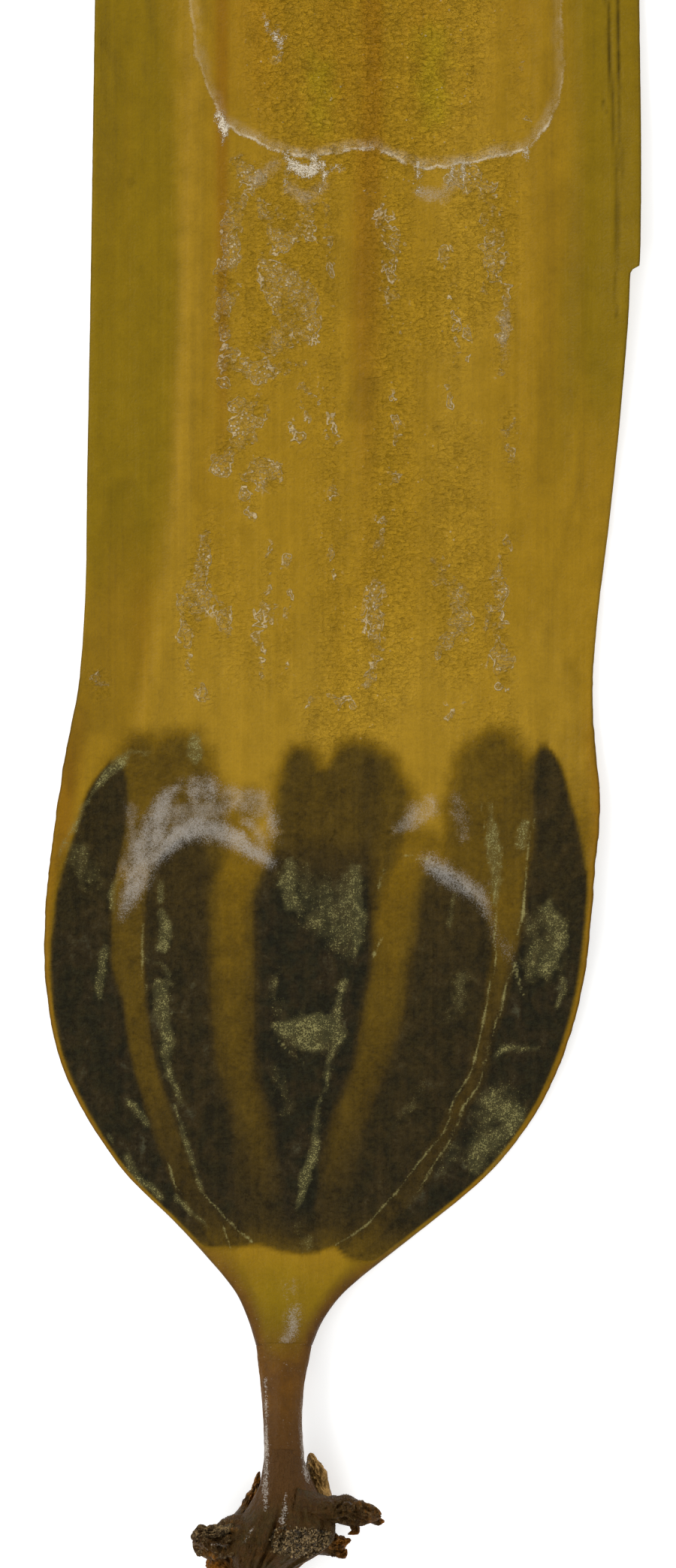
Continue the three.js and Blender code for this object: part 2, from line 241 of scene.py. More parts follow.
FAINT_SCRAPES = [
    [(2, 88, 3.5), (6, 84, 5), (10, 80, 5), (12, 74, 2)],
    [(13, 88, 2.5), (11, 84, 3.5)],
    [(-39, 93, 2.6), (-37, 89, 3.2)],
    [(0, 60, 2), (4, 59, 4), (9, 58, 3.5)],
    [(-1.3, 52.5, 0.4), (-0.5, 49.5, 0.8), (0, 44.5, 1)],
    [(-1.5, 70, 0.6), (-1.5, 62, 0.7)],
    [(49, 79, 4), (49, 72, 4)],
    [(41, 45, 5), (38, 37, 4.5)],
    [(32, 36.5, 2.2), (31, 33.5, 1.4)],
    [(34, 69, 1.4), (32.5, 65, 2), (30.5, 61, 1.2)],
    [(26, 48.5, 1), (22, 42, 0.7)],
    [(2.6, 24.5, 0.4), (3, 21.5, 0.7), (4.5, 18.6, 1.6)],
]
# Thin pale lines, where the sori's skins end.
HAIRLINES = [
    [(-15, 28.5, 0.22), (-11.5, 24.5, 0.22), (-8.5, 21.5, 0.25), (-6, 19.5, 0.22)],
    [(-22, 34.5, 0.2), (-20.5, 30, 0.22), (-19, 28, 0.2)],
    [(-11.5, 22.5, 0.2), (-10.5, 20, 0.22), (-10, 18, 0.25)],
    [(-26.7, 84, 0.15), (-26.7, 73, 0.2), (-26, 64, 0.18)],
    [(37, 102.5, 0.15), (38.4, 95, 0.22), (39.5, 89.5, 0.25), (40, 83.5, 0.28), (39.7, 77.5, 0.25),
     (39.8, 72, 0.25), (38.6, 65.5, 0.2), (37, 58.5, 0.18), (35.5, 52, 0.2), (32, 46, 0.25),
     (30.5, 40.5, 0.28), (26, 35, 0.22), (21, 28.5, 0.18), (15.5, 22.5, 0.18), (10, 19, 0.25)],
    [(47, 99, 0.2), (46, 92, 0.22), (45.5, 86.5, 0.25), (45, 81.5, 0.35), (44, 77.5, 0.25)],
    [(42.5, 70, 0.2), (41, 63.5, 0.28), (39, 58, 0.25), (37, 49.5, 0.25), (34, 45, 0.25), (31, 38, 0.25),
     (28, 33.5, 0.22), (25, 28.5, 0.18)],
    [(43.5, 72, 0.5), (44, 69.5, 0.35), (45, 66, 0.22)],
    [(22.5, 92.5, 0.2), (27, 91.6, 0.25)],
    [(19, 90, 0.22), (18, 87, 0.25), (17.5, 84, 0.22)],
    [(18.5, 77, 0.2), (17, 73.5, 0.3)],
    [(-1.5, 58, 0.3), (1, 55.5, 0.2), (4, 52.5, 0.18)],
    [(4, 57, 0.2), (6, 57, 0.32), (7, 56.5, 0.22)],
]

# The pale line left where the last water dried, and its runs.
DRYING_LINE = [
    (-19.5, 300), (-18.5, 270), (-17.5, 254), (-16, 243), (-13.4, 235), (-11.8, 231), (-8, 228.6),
    (-3.5, 226.3), (-0.5, 225), (5, 224), (9, 224.8), (12, 225.8), (17, 225.8), (20, 224.3),
    (23, 223), (28, 222), (34.5, 223), (40, 224.4), (45.5, 225.5), (47.8, 227.2), (50, 230.5),
    (51.7, 234), (53, 241.5), (52.4, 251.5), (51.8, 270), (52.5, 300),
]
# How strongly the line shows at a height.
DRYING_STRENGTH = [(220, 1), (227, 0.95), (232, 0.6), (238, 0.34), (256, 0.24), (272, 0.12), (290, 0)]
DRYING_RUNS = [
    [(0, 225, 0.7), (1.5, 222.6, 1), (4.2, 221, 1.2), (6.8, 222.8, 0.9)],
    [(5.5, 224, 0.9), (7.5, 222.2, 0.5)],
    [(0.8, 222.5, 0.5), (0.2, 220.5, 0.45), (-0.2, 217.9, 0.25)],
    [(7, 221.8, 0.45), (7.4, 219.6, 0.3), (6.6, 217.6, 0.3)],
    [(8, 220.8, 0.2), (9.4, 222.3, 0.3), (11.2, 221.7, 0.2)],
    [(25, 223, 0.4), (25, 217.5, 0.15)],
    [(26.2, 222, 0.3), (25.7, 219, 0.15)],
    [(31.5, 222.6, 0.35), (31.3, 217.6, 0.15)],
    [(34, 222.8, 0.35), (33.7, 218, 0.12)],
    [(45.5, 225.5, 0.6), (46, 223.6, 0.4)],
    [(-12.4, 232, 0.8), (-11.4, 229.5, 0.7), (-11.2, 226.5, 0.15)],
    [(-1.5, 249, 0.3), (-1.2, 246, 0.6), (-0.4, 244.6, 0.4)],
    [(0.2, 246.8, 0.4), (-0.6, 245.2, 0.4)],
    [(-4, 251, 0.15), (-2.5, 247.5, 0.2)],
]
# Greenish patches inside the drying line.
GREEN_PATCHES = [
    [(6.7, 241, 3.4), (6.6, 230, 3)],
    [(27.8, 246, 4), (28.2, 233, 4)],
    [(27.5, 270, 3), (28, 260, 3.4)],
]

# Where squiggles of dried slime show, how strongly, and how much wider than the strokes.
CRUST_WIDER = 1.15
CRUST_ZONES = [
    (1, [(-8, 222, 2.2), (-5, 220, 2.2)]),
    (1, [(-9, 216, 1.8), (-9.5, 212, 1.8), (-10, 206, 1.6), (-11, 199, 1.8), (-11.2, 191, 1.5)]),
    (0.9, [(-4, 216, 2.6), (0, 210, 3.4), (7, 213, 2.4)]),
    (1, [(-3, 203, 3), (1, 199, 4), (3.5, 192, 3.4), (-2, 189, 3)]),
    (0.9, [(-10, 187, 1.8), (-11, 182, 1.2)]),
    (1, [(-9, 184, 1.4), (-4, 184, 1.8), (2.5, 185, 1.4)]),
    (0.8, [(4, 182, 1), (5.5, 176, 1)]),
    (1, [(-9, 178, 1.4), (-5, 177, 2.2), (-8, 171.5, 2.4), (-12, 166.5, 2)]),
    (1, [(-7, 163.5, 1.6), (-4.5, 165, 2.4), (-1.5, 163.5, 2)]),
    (0.9, [(-7, 160, 1.4), (-6, 157.5, 1.2)]),
    (0.9, [(1.5, 172.5, 1.4), (3, 171, 1.2)]),
    (0.8, [(3.6, 178, 0.8), (4.2, 174, 0.5)]),
    (1, [(-13.8, 156.5, 0.8), (-15.5, 149, 1.8), (-16.5, 143, 2.4), (-17.5, 138, 2.2), (-18.5, 132, 1.4)]),
    (0.8, [(-13.5, 139.5, 1.2), (-11, 139, 1.4), (-10.5, 134, 1.4), (-13, 132.5, 1)]),
    (0.9, [(-18.8, 129, 1), (-18.4, 126, 0.7)]),
    (0.8, [(-18, 123.6, 0.9), (-14.5, 122.6, 1.4)]),
    (0.7, [(-3, 150, 1), (-4, 138, 1.4), (-4, 128, 1.6), (-4.5, 124, 1)]),
    (0.7, [(0.5, 148, 0.7), (0.5, 134, 0.9), (-0.5, 124, 0.8)]),
    (0.8, [(16, 218, 2), (20, 208, 2), (21, 198, 2), (21, 186, 1.2)]),
    (0.8, [(21, 178, 1), (21.5, 164, 0.9), (18.6, 154, 1.4), (17, 142, 1.4), (17, 130, 1.4), (16, 124, 1)]),
    (0.6, [(8.6, 208, 1.4), (9, 196, 1.2), (9.4, 170, 0.9), (9.2, 140, 0.9)]),
    (1, [(34, 221, 2.4), (38, 216, 2.6), (40, 208, 2.4), (39, 200, 1.6)]),
    (0.55, [(30, 208, 1.8), (32, 198, 2), (33, 188, 1.8), (31.5, 176, 1.4)]),
    (1, [(42, 206, 0.9), (41.6, 192, 1.2), (41.2, 184, 0.9)]),
    (0.9, [(42.6, 176, 1), (42.2, 170, 0.9), (43.8, 163, 1)]),
    (1, [(29, 147, 2), (32, 142, 2.4), (33, 136, 2.2), (29.6, 131, 1.6)]),
    (0.9, [(42, 152, 0.9), (40.5, 146, 1.2), (39.5, 139, 2), (40.5, 131, 1.8), (41.8, 124, 1.2)]),
    (0.6, [(3, 121.5, 1.4), (8, 122.4, 1.8), (12, 121, 1.4)]),
    (0.9, [(-35, 125.6, 1.2), (-34.5, 123.2, 1.1)]),
    (0.5, [(26, 119, 1.2), (33, 118.5, 1.4), (37, 121, 1.2)]),
    (0.5, [(-2, 247, 2), (2, 240, 2)]),
    (0.5, [(44, 250, 1.4), (44, 236, 1.6), (46, 230, 1.2)]),
]

# Fine bubbly wrinkles, and how strongly.
BUBBLY_ZONES = [
    (1, [(17, 330, 22), (17, 275, 24), (16, 240, 22)]),
    (0.9, [(38, 222, 6), (36, 205, 8), (30, 195, 8)]),
    (0.8, [(2, 216, 9), (0, 200, 9), (-4, 186, 5)]),
    (0.8, [(20, 214, 5), (21, 180, 4), (20, 150, 6), (18, 130, 8), (12, 118, 8)]),
    (0.6, [(8, 200, 3), (9, 160, 3), (10, 130, 4)]),
    (0.7, [(32, 170, 5), (33, 145, 7), (33, 130, 6)]),
    (0.6, [(40, 118, 4), (39, 104, 7)]),
    (0.4, [(-12, 150, 3), (-8, 130, 5)]),
]

# Long folds and creases: whether a painted shade line follows it, its height, and its (x, y, half width).
FOLDS = [
    (False, 0.9, [(-17.3, 330, 2.4), (-17.3, 254, 2.4), (-17.5, 200, 2.4), (-19, 165, 2.6),
                  (-23, 130, 2.8), (-27, 112, 2)]),
    (False, 0.45, [(-27, 320, 2.2), (-27, 200, 2.4), (-26, 150, 2)]),
    (False, -0.35, [(-13.3, 330, 0.5), (-12.9, 254, 0.5), (-13, 215, 0.5), (-13.6, 190, 0.45),
                   (-16, 160, 0.4)]),
    (True, -0.4, [(61.6, 320, 0.2), (60.8, 254, 0.24), (62.8, 219, 0.26), (62.5, 194, 0.16)]),
    (True, -0.3, [(64.5, 320, 0.15), (63, 254, 0.22), (63.6, 221, 0.22), (63.2, 207, 0.1)]),
    (False, 0.7, [(50, 330, 2.4), (49, 254, 2.4), (48, 200, 2.6), (47, 160, 3), (49, 128, 2.6)]),
    (False, 0.5, [(57, 325, 1.8), (57, 254, 1.8), (56, 200, 2), (53.5, 150, 2.2)]),
    (False, -0.35, [(57, 165, 0.8), (54.5, 156, 0.7), (51.5, 144, 0.7), (50, 128, 0.6)]),
    (False, 0.35, [(16, 325, 1.6), (16, 230, 1.6), (15.5, 160, 1.4), (15, 120, 1.2)]),
    (False, -0.3, [(21, 325, 1.3), (21, 230, 1.3), (20.5, 160, 1.2), (19.5, 120, 1)]),
    (False, -0.3, [(10, 325, 1.3), (10.5, 230, 1.3), (9.5, 160, 1.2), (8, 120, 1)]),
    (False, 0.4, [(34, 320, 3), (34, 220, 3), (33, 150, 3)]),
    (False, -0.5, [(-38.5, 121, 0.9), (-37.4, 119.4, 1.1), (-36, 118, 0.8)]),
    (False, -0.4, [(50, 128, 1.4), (53, 124, 1.2)]),
]
# A short crack at the right margin, and dark specks and shades: small real specks, broader darkening, and
# darker lines along the furrows near (−37, 120) and (50 to 57, 112 to 166), which are painted shade.
BLADE_CRACK = [(60.4, 234.5, 0.22), (60.6, 232.3, 0.22)]
DARK_SPECKS_AND_SHADES = [
    (1, [(-29.2, 219, 0.4), (-29, 218.8, 0.35)]),
    (0.45, [(14.8, 181.5, 2.6), (14.6, 177, 3)]),
    (0.8, [(6.2, 118.6, 0.5), (6.3, 117.2, 0.4)]),
    (0.9, [(-38.2, 119.9, 1), (-36.2, 118.4, 0.6)]),
    (0.7, [(-40, 112, 1.4), (-40.5, 104, 1)]),
    (0.6, [(-37.5, 128, 2), (-38.5, 120, 3.2), (-40, 112, 2.4)]),
    (0.35, [(54, 128, 1.2), (55.5, 118, 1.4), (55, 112, 1)]),
    (0.20, [(57, 166, 1), (54.5, 156, 0.9), (51.5, 144, 0.9), (50, 128, 0.8)]),
    (0.9, [(29, 173.8, 0.35), (29.2, 173.4, 0.3)]),
    (0.3, [(8, 205, 5), (14, 200, 6), (18, 206, 3)]),
    (0.36, [(-30, 160, 4), (-31, 140, 6), (-33, 120, 5)]),
    (0.6, [(-36, 132, 3), (-36, 118, 3)]),
    (0.30, [(53, 215, 4), (53, 190, 4), (50, 165, 3)]),
]

# ---------- the holdfast ----------

# Each fork's fingers: a path of (x, y, z), half thickness and half depth at its points, how ragged
# it is and how crusty.
FORKS = {
    "holdfast_lobe_left": [
        ([(-2, -34, 8.8), (-7.5, -35.9, 9), (-12.6, -37, 8.8), (-17, -37.4, 8)],
         (4.6, 4, 3.3, 2.7), (7, 6, 4.8, 3.2), 0.50, 0.52),
        ([(-9.2, -33.6, 11.5), (-11.8, -34.7, 12.4), (-15.2, -34.9, 11.8), (-17.3, -36.2, 9.6)],
         (0.7, 1, 1.15, 0.9), (1.2, 1.4, 1.5, 1), 0.85, 1),
    ],
    "holdfast_lobe_right": [
        ([(2, -29.8, 9), (8.4, -30.9, 9.6), (13.2, -31.2, 10), (18.2, -31.8, 9.8)],
         (4.6, 2.6, 2.5, 1.9), (6.5, 4.8, 3.9, 2.8), 0.55, 0.45),
        ([(10.8, -32.2, 9.4), (13.2, -33.3, 9.3), (13.6, -34.7, 9.1), (12.2, -35.4, 8.9)],
         (1.3, 0.95, 0.7, 0.35), (2.4, 1.6, 1.1, 0.6), 0.6, 0),
        ([(16.6, -32.6, 8.6), (17.8, -33.1, 8.4), (18.4, -33, 8.2), (18.8, -32.9, 8)],
         (0.8, 0.7, 0.5, 0.3), (1.4, 1.2, 0.8, 0.4), 0.9, 0.2),
    ],
    "holdfast_lobe_lower_right": [
        ([(4, -36, 8), (8.4, -36.6, 8), (11, -36.9, 7.8), (12.5, -36.6, 7.4)],
         (2.6, 1.9, 1.1, 0.5), (4, 3.2, 2.2, 1.2), 0.8, 0),
        ([(6, -37.6, 8), (9.2, -38.3, 7.8), (10.9, -39, 7.6), (11.8, -39.2, 7.4)],
         (1.7, 1.3, 1, 0.8), (2.8, 2.2, 1.6, 1.2), 0.8, 0.1),
    ],
    "holdfast_flap_back_left": [
        ([(-8.9, -33.4, 7), (-7, -30.4, 6.2), (-5.4, -27.4, 5.8), (-4.6, -23.9, 5.6)],
         (1.5, 1.1, 0.85, 0.65), (3.4, 2.8, 2.2, 1.4), 0.8, 0.5),
    ],
    "holdfast_flap_back_right": [
        ([(8.4, -31.4, 6.5), (7.2, -27.4, 5.8), (6.1, -23.8, 5.4), (5, -20.4, 5.2)],
         (1.6, 1.5, 1.4, 0.9), (3.2, 2.8, 2.2, 1.3), 0.75, 0.2),
    ],
    "holdfast_flap_lower_left": [
        ([(-5, -38.6, 6.4), (-9.6, -40.2, 6), (-11.6, -42.4, 5.4), (-12, -45.1, 5.2)],
         (3.6, 3.6, 2.9, 1.5), (4.2, 3.4, 2.6, 1.6), 0.45, 0),
    ],
}
PALE_FORK = "holdfast_flap_back_right"

# The disc's edges in plan, as (y, left, right).
DISC_EDGES = [
    (-20.15, -3.55, 3.5), (-22.2, -3.85, 4.2), (-24.2, -4.2, 5), (-26, -4.6, 5.8), (-28, -5.6, 6.9),
    (-30.3, -7.1, 8.5), (-32.2, -8.6, 9.8), (-34.2, -10.2, 10.3), (-36.2, -11, 10.2),
    (-38.2, -11.2, 9), (-39.6, -11, 6.6), (-40.9, -10.6, 4.2), (-42.2, -9.9, 2.4),
    (-43.7, -8.4, 0.6), (-45.15, -5.4, -1.6),
]
# Pale dust on the stem and the disc, as strokes of (x, y, radius).
DUST = [
    [(-3.4, -6, 0.2), (-3.3, -14, 0.35), (-3.3, -22, 0.6), (-3.5, -27, 0.7), (-3.3, -30.4, 0.5)],
    [(3.4, -10, 0.2), (3.6, -15, 0.5), (4, -20, 0.8), (4.3, -23.5, 0.9), (4.6, -25.6, 0.3)],
    [(0.4, -27.5, 0.3), (0.2, -30.8, 0.6), (-0.4, -32.8, 0.7)],
    [(-5.8, -34, 0.3), (-7.3, -36.4, 0.35)],
    [(-13.6, -37, 0.35), (-10.6, -37.5, 0.4)],
]
GRIT_CENTRE, GRIT_SPREAD = (2.9, -36.4), (5.6, 3)
GRIT_GRAINS = 620


# ---------- the stage, in metres and watts ----------

WHITE = (1.0, 1.0, 1.0, 1.0)
FLOOR_HALF, FLOOR_HEIGHT, FLOOR_GLOW = 3.0, -0.0003, 0.30
SKY_STRENGTH = 0.60
LIGHTS = (
    # name, place, size, watts
    ("key", (-1.3, 1.0, 1.25), 0.9, 28.0),
    ("fill_right", (1.5, 0.5, 1.2), 1.0, 10.5),
    ("fill_low_left", (-1.1, -1.3, 1.2), 1.0, 10.5),
    ("fill_low_right", (1.1, -1.4, 1.2), 1.0, 8.0),
)
CLIP_END = 20.0


# ---------- numbers worked out as whole arrays ----------

def bell(value):
    """1 at 0, falling to nothing on both sides: exp(−value²)."""
    return np.exp(-value ** 2)


def strongest(*fields):
    """The greatest of several fields at each place."""
    return np.maximum.reduce(np.broadcast_arrays(*fields))


def smooth(value):
    """Rises smoothly from 0 to 1 as the value does, flat outside: 3t² − 2t³."""
    t = np.clip(value, 0.0, 1.0)
    return t * t * (3 - 2 * t)


def along(points, at):
    """Cubic through (place, value) points, read at any place. Its slope at a point is the harmonic
    mean of the slopes on both sides, or 0 at a peak, so it never overshoots."""
    x, y = np.array(sorted(points), float).T
    step = np.diff(x)
    slope = np.diff(y) / step
    bend = np.zeros_like(y)
    product = slope[:-1] * slope[1:]
    same_way = product > 0
    total = np.where(same_way, slope[:-1] + slope[1:], 1.0)
    bend[1:-1] = np.where(same_way, 2 * product / total, 0.0)
    bend[0], bend[-1] = slope[0], slope[-1]
    at = np.clip(at, x[0], x[-1])
    i = np.clip(np.searchsorted(x, at, side="right") - 1, 0, len(step) - 1)
    t = (at - x[i]) / step[i]
    start = (1 + 2 * t) * (1 - t) ** 2 * y[i] + t * (1 - t) ** 2 * step[i] * bend[i]
    end = t * t * (3 - 2 * t) * y[i + 1] + t * t * (t - 1) * step[i] * bend[i + 1]
    return start + end


def noise(x, y, seed, octaves=1):
    """Smooth random relief from about −1 to 1: lattice values blended by quintic steps, then the
    same at twice the frequency and half the height for each further octave."""
    lattice = np.random.default_rng(seed).uniform(-1.0, 1.0, (128, 128))
    total = np.zeros(np.broadcast(x, y).shape)
    height = 1.0
    for _ in range(octaves):
        across = np.floor(x).astype(int)
        up = np.floor(y).astype(int)
        s = x - across
        t = y - up
        s = s ** 3 * (s * (s * 6 - 15) + 10)
        t = t ** 3 * (t * (t * 6 - 15) + 10)
        low = lattice[up % 128, across % 128] * (1 - s) + lattice[up % 128, (across + 1) % 128] * s
        high = (lattice[(up + 1) % 128, across % 128] * (1 - s)
                + lattice[(up + 1) % 128, (across + 1) % 128] * s)
        total += height * (low * (1 - t) + high * t)
        height *= 0.5
        x = x * 2 + 31.7
        y = y * 2 + 11.3
    return total


def stroke(x, y, points, soft=0.4):
    """1 inside a chain of rounded segments through (x, y, radius) points, 0 outside it, with an
    edge soft millimetres wide: radius less distance from the chain, smoothed."""
    inside = np.full(np.shape(x), -1e6)
    for (ax, ay, ar), (bx, by, br) in zip(points, points[1:]):
        dx, dy = bx - ax, by - ay
        t = np.clip(((x - ax) * dx + (y - ay) * dy) / (dx * dx + dy * dy), 0, 1)
        distance = np.hypot(x - ax - t * dx, y - ay - t * dy)
        inside = np.maximum(inside, ar + t * (br - ar) - distance)
    return smooth(inside / soft + 0.5)


def strokes(x, y, many, soft=0.4):
    """The strongest of many strokes at each place."""
    return np.max([stroke(x, y, points, soft) for points in many], axis=0)


def weighted(x, y, many, soft=0.4):
    """The strongest of many (strength, points) strokes at each place."""
    return np.max([strength * stroke(x, y, points, soft) for strength, points in many], axis=0)


def edges(rows, y):
    """The left and right edge at any height, from rows of (y, left, right)."""
    return (along([(row[0], row[side]) for row in rows], y) for side in (1, 2))


def band(x, y, rows, soft_left, soft_right, soft_top):
    """1 between the left and right edges that rows give, 0 outside them, each edge as soft as it is
    told, in millimetres."""
    left, right = edges(rows, y)
    top = (rows[0][0] - y) / soft_top
    return smooth(np.minimum(np.minimum((x - left) / soft_left, (right - x) / soft_right), top) + 0.5)


def side_of_line(x, y, points, reach):
    """Distance in millimetres from a line of (x, y) points that opens upwards, positive above it and
    negative below, up to reach either way."""
    nearest = np.full(np.shape(x), np.inf)
    crossings = np.zeros(np.shape(x), int)
    for (ax, ay), (bx, by) in zip(points, points[1:]):
        dx, dy = bx - ax, by - ay
        t = np.clip(((x - ax) * dx + (y - ay) * dy) / (dx * dx + dy * dy), 0, 1)
        nearest = np.minimum(nearest, np.hypot(x - ax - t * dx, y - ay - t * dy))
        spans = (x >= min(ax, bx)) & (x < max(ax, bx))
        crossings += spans & (y > ay + (x - ax) * dy / (dx or 1e-9))
    return np.clip(np.where(crossings % 2 == 1, nearest, -nearest), -reach, reach)


def strip_darkness(x, y):
    """How dark the tissue is between the sori: each strip's own darkness at that height, weighted by
    how near its middle line is."""
    total = np.zeros_like(x)
    weights = np.full_like(x, 1e-9)
    for line, darkness in STRIPS:
        middle = along([(point[1], point[0]) for point in line], y)
        weight = bell((x - middle) / 6.5) + 1e-6
        total += weight * along(darkness, y)
        weights += weight
    return total / weights


def rows_of(node):
    """A CAD piece's rows: for each height y that it has points at, its lowest and highest x and z,
    all in the frond's plan."""
    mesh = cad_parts[node].data
    points = np.empty(len(mesh.vertices) * 3)
    mesh.vertices.foreach_get("co", points)
    points = points.reshape(-1, 3) / MM - PLAN_ORIGIN
    heights, row = np.unique(np.round(points[:, 1], 2), return_inverse=True)
    found = {"y": heights}
    for name, column in (("x", 0), ("z", 2)):
        low = np.full(len(heights), np.inf)
        high = np.full(len(heights), -np.inf)
        np.minimum.at(low, row, points[:, column])
        np.maximum.at(high, row, points[:, column])
        found[name + "_low"], found[name + "_high"] = low, high
    return found


STEM_ROWS = rows_of("stipe")
LEAF_ROWS = rows_of("blade")
LEFT_MARGIN = list(zip(LEAF_ROWS["y"], LEAF_ROWS["x_low"]))
RIGHT_MARGIN = list(zip(LEAF_ROWS["y"], LEAF_ROWS["x_high"]))


def stem_section(y):
    """The stem's oval at a height below the blade: centre x, centre z, half width, half height."""
    left, right, bottom, top = (along(zip(STEM_ROWS["y"], STEM_ROWS[key]), y)
                                for key in ("x_low", "x_high", "z_low", "z_high"))
    return (left + right) / 2, (bottom + top) / 2, (right - left) / 2, (top - bottom) / 2


# ---------- the blade's relief and markings ----------

def blade_plan(sizes):
    """The blade's grid in plan: columns run from margin to margin, rows from the stipe to a worn,
    ragged tip that dips below the CAD tip by layered noise. Returns x, y and u, the place across."""
    t = np.linspace(-1, 1, BLADE_COLUMNS + 1)
    u = t + sizes.margin_crowding * np.sin(math.pi * t) / math.pi
    level = np.linspace(0, 1, BLADE_ROWS + 1) * BLADE_LENGTH
    u, level = np.meshgrid(u, level)
    left = along(LEFT_MARGIN, level)
    right = along(RIGHT_MARGIN, level)
    x = left + (right - left) * (u + 1) / 2
    worn = 3.2 + 2.4 * noise(u * 3.1, u * 0, 41, 3) + 1.0 * noise(u * 21, u * 0, 42, 2)
    tear = sum(depth * bell((u - place) / width) for place, width, depth in TEARS)
    near_tip = smooth((level - (BLADE_LENGTH - TIP_REACH)) / TIP_REACH)
    y = level - near_tip ** 2 * np.maximum(worn + tear, 0.2)
    rough = 0.04 + 0.12 * smooth((level - 25) / 20) * (1 - smooth((level - 110) / 30))
    nick = rough * noise(level / 4.1, u * 0 + 3.3 * np.sign(u), 43, 4) * smooth((np.abs(u) - 0.93) / 0.07)
    return x - np.sign(u) * np.abs(nick), y, u


def blade_fields(x, y, u):
    """Everything that is drawn on the blade, as numbers from 0 to 1 at each place."""
    wx = x + 0.5 * noise(x / 4.5, y / 4.5, 1, 3)
    wy = y + 0.5 * noise(x / 4.5, y / 4.5, 2, 3)
    from_margin = np.minimum(x - along(LEFT_MARGIN, y), along(RIGHT_MARGIN, y) - x)
    soft_x = x + 0.22 * noise(x / 5, y / 14, 3, 2)
    foot = smooth((y - along(FERTILE_FOOT, x) - 0.15 * noise(x / 5.0, y * 0, 4, 2)) / 1.3 + 0.5)
    inside_rim = smooth((from_margin - 0.55 - 0.15 * np.sign(u)) / 1.1)
    tissue = strip_darkness(soft_x, y) * smooth((from_margin - 0.3) / 2.4)
    tissue = np.maximum(tissue, weighted(wx, wy, FINGERS, 5.5))
    sori = np.zeros_like(x)
    for name, (rows, soft_left, soft_right) in SORI.items():
        high, low, change_from, change_to = SORUS_DEPTH[name]
        depth = low + (high - low) * smooth((y - change_from) / (change_to - change_from))
        shape = band(soft_x, y, rows, soft_left, soft_right, 3.2)
        sori = np.maximum(sori, depth * shape * inside_rim)
    sori = np.maximum(sori, 0.63 * strokes(wx, wy, MIDDLE_TOPS, 4.6))
    darker = np.maximum(tissue, sori)
    dark = darker + 0.5 * np.minimum(tissue, sori) * (1 - darker)
    paler_foot = 0.55 + 0.45 * smooth((y - 15) / 12)
    fields = {"dark": dark * foot * paler_foot}

    fields["frost"] = weighted(wx, wy, FROST, 3.6)
    fields["haze"] = strokes(wx, wy, HAZE, 2.6)
    fields["scrape"] = np.maximum(strokes(wx, wy, SCRAPES, 1.5),
                                  0.58 * strokes(wx, wy, FAINT_SCRAPES, 4.5))
    slight_x = x + 0.16 * noise(x / 2.5, y / 2.5, 5, 2)
    fields["hairline"] = strokes(slight_x, y, HAIRLINES, 0.7)
    fields["shore"] = side_of_line(wx, y + 0.35 * noise(x / 2.2, y / 2.2, 6, 2), DRYING_LINE, 4.0)
    fields["shore_strength"] = along(DRYING_STRENGTH, y)
    fields["drying"] = strokes(x + 0.3 * noise(x / 1.6, y / 1.6, 13, 2), y, DRYING_RUNS, 0.9)
    wider = [(strength, [(px, py, radius * CRUST_WIDER) for px, py, radius in points])
             for strength, points in CRUST_ZONES]
    fields["crust_zone"] = weighted(wx, wy, wider, 4.2)
    fields["bubbly"] = weighted(x, y, BUBBLY_ZONES, 9.0) * (1 - smooth(dark * 1.8))
    # Painted shade: a dark line along each marked crease and along the crack, stronger from y ≈ 232
    # upwards.
    lines = [points for marked, height, points in FOLDS if marked] + [BLADE_CRACK]
    fields["crease"] = strokes(slight_x, y, lines, 0.6) * (0.55 + 0.45 * smooth((y - 232) / 10))
    # Painted shade along the furrows, with real dark specks and broader darkening.
    fields["speck_and_shade"] = weighted(wx, wy, DARK_SPECKS_AND_SHADES, 2.2)

    # Lengthwise colour: olive side margins, a pale gold band along the ridge left of the middle, which is a
    # painted highlight on that fold, and gold near the sori.
    on_right = smooth(u * 3)
    olive = smooth((np.abs(u - 0.03) - 0.50 - 0.02 * on_right) / 0.34)
    olive = olive * smooth((y - 120 - 26 * smooth(u)) / 50) * (1 - 0.15 * on_right)
    ridge = x + 17.3 + 0.035 * np.maximum(190 - y, 0) ** 1.15
    gold = strongest(
        0.8 * bell(ridge / 3) * smooth((y - 105) / 40),
        bell((y - 110) / 30) * (1 - smooth((np.abs(u) - 0.78 - 0.1 * np.sign(u)) / 0.16)),
        0.55 * bell((x + 4) / 10) * bell((y - 140) / 45),
        0.75 * bell((x - 35) / 8.5) * smooth((y - 112) / 20),
    )
    orange = strongest(
        # The first band, a darker orange line beside the left ridge, is painted shade in its furrow.
        0.9 * bell((x + 11.6) / 1.6) * smooth((y - 150) / 40),
        0.8 * bell((x - 16.4 + 0.01 * (254 - y)) / 3.2) * (0.35 + 0.65 * smooth((y - 150) / 60)),
        0.6 * bell((x + 27) / 3.2) * bell((y - 160) / 36),
        0.3 * smooth((y - 224) / 14) * (1 - smooth((np.abs(u) - 0.5) / 0.2)),
        0.7 * smooth((np.abs(u) - 0.88) / 0.1) * (1 - smooth((y - 104) / 30)),
    )
    vary = 1 + 0.35 * noise(x / 5, y / 70, 8, 2)
    fields["olive"] = np.clip(olive * vary + 0.75 * (1 - smooth((y - 8) / 16)), 0, 1)
    fields["gold"] = np.clip(gold * vary, 0, 1) * smooth((y - 18) / 20)
    fields["orange"] = np.clip(orange * smooth((y - 20) / 10) * vary, 0, 1)
    fields["green"] = strokes(wx, wy, GREEN_PATCHES, 9.0)
    fields["brown"] = stem_brown(y, np.abs(u))
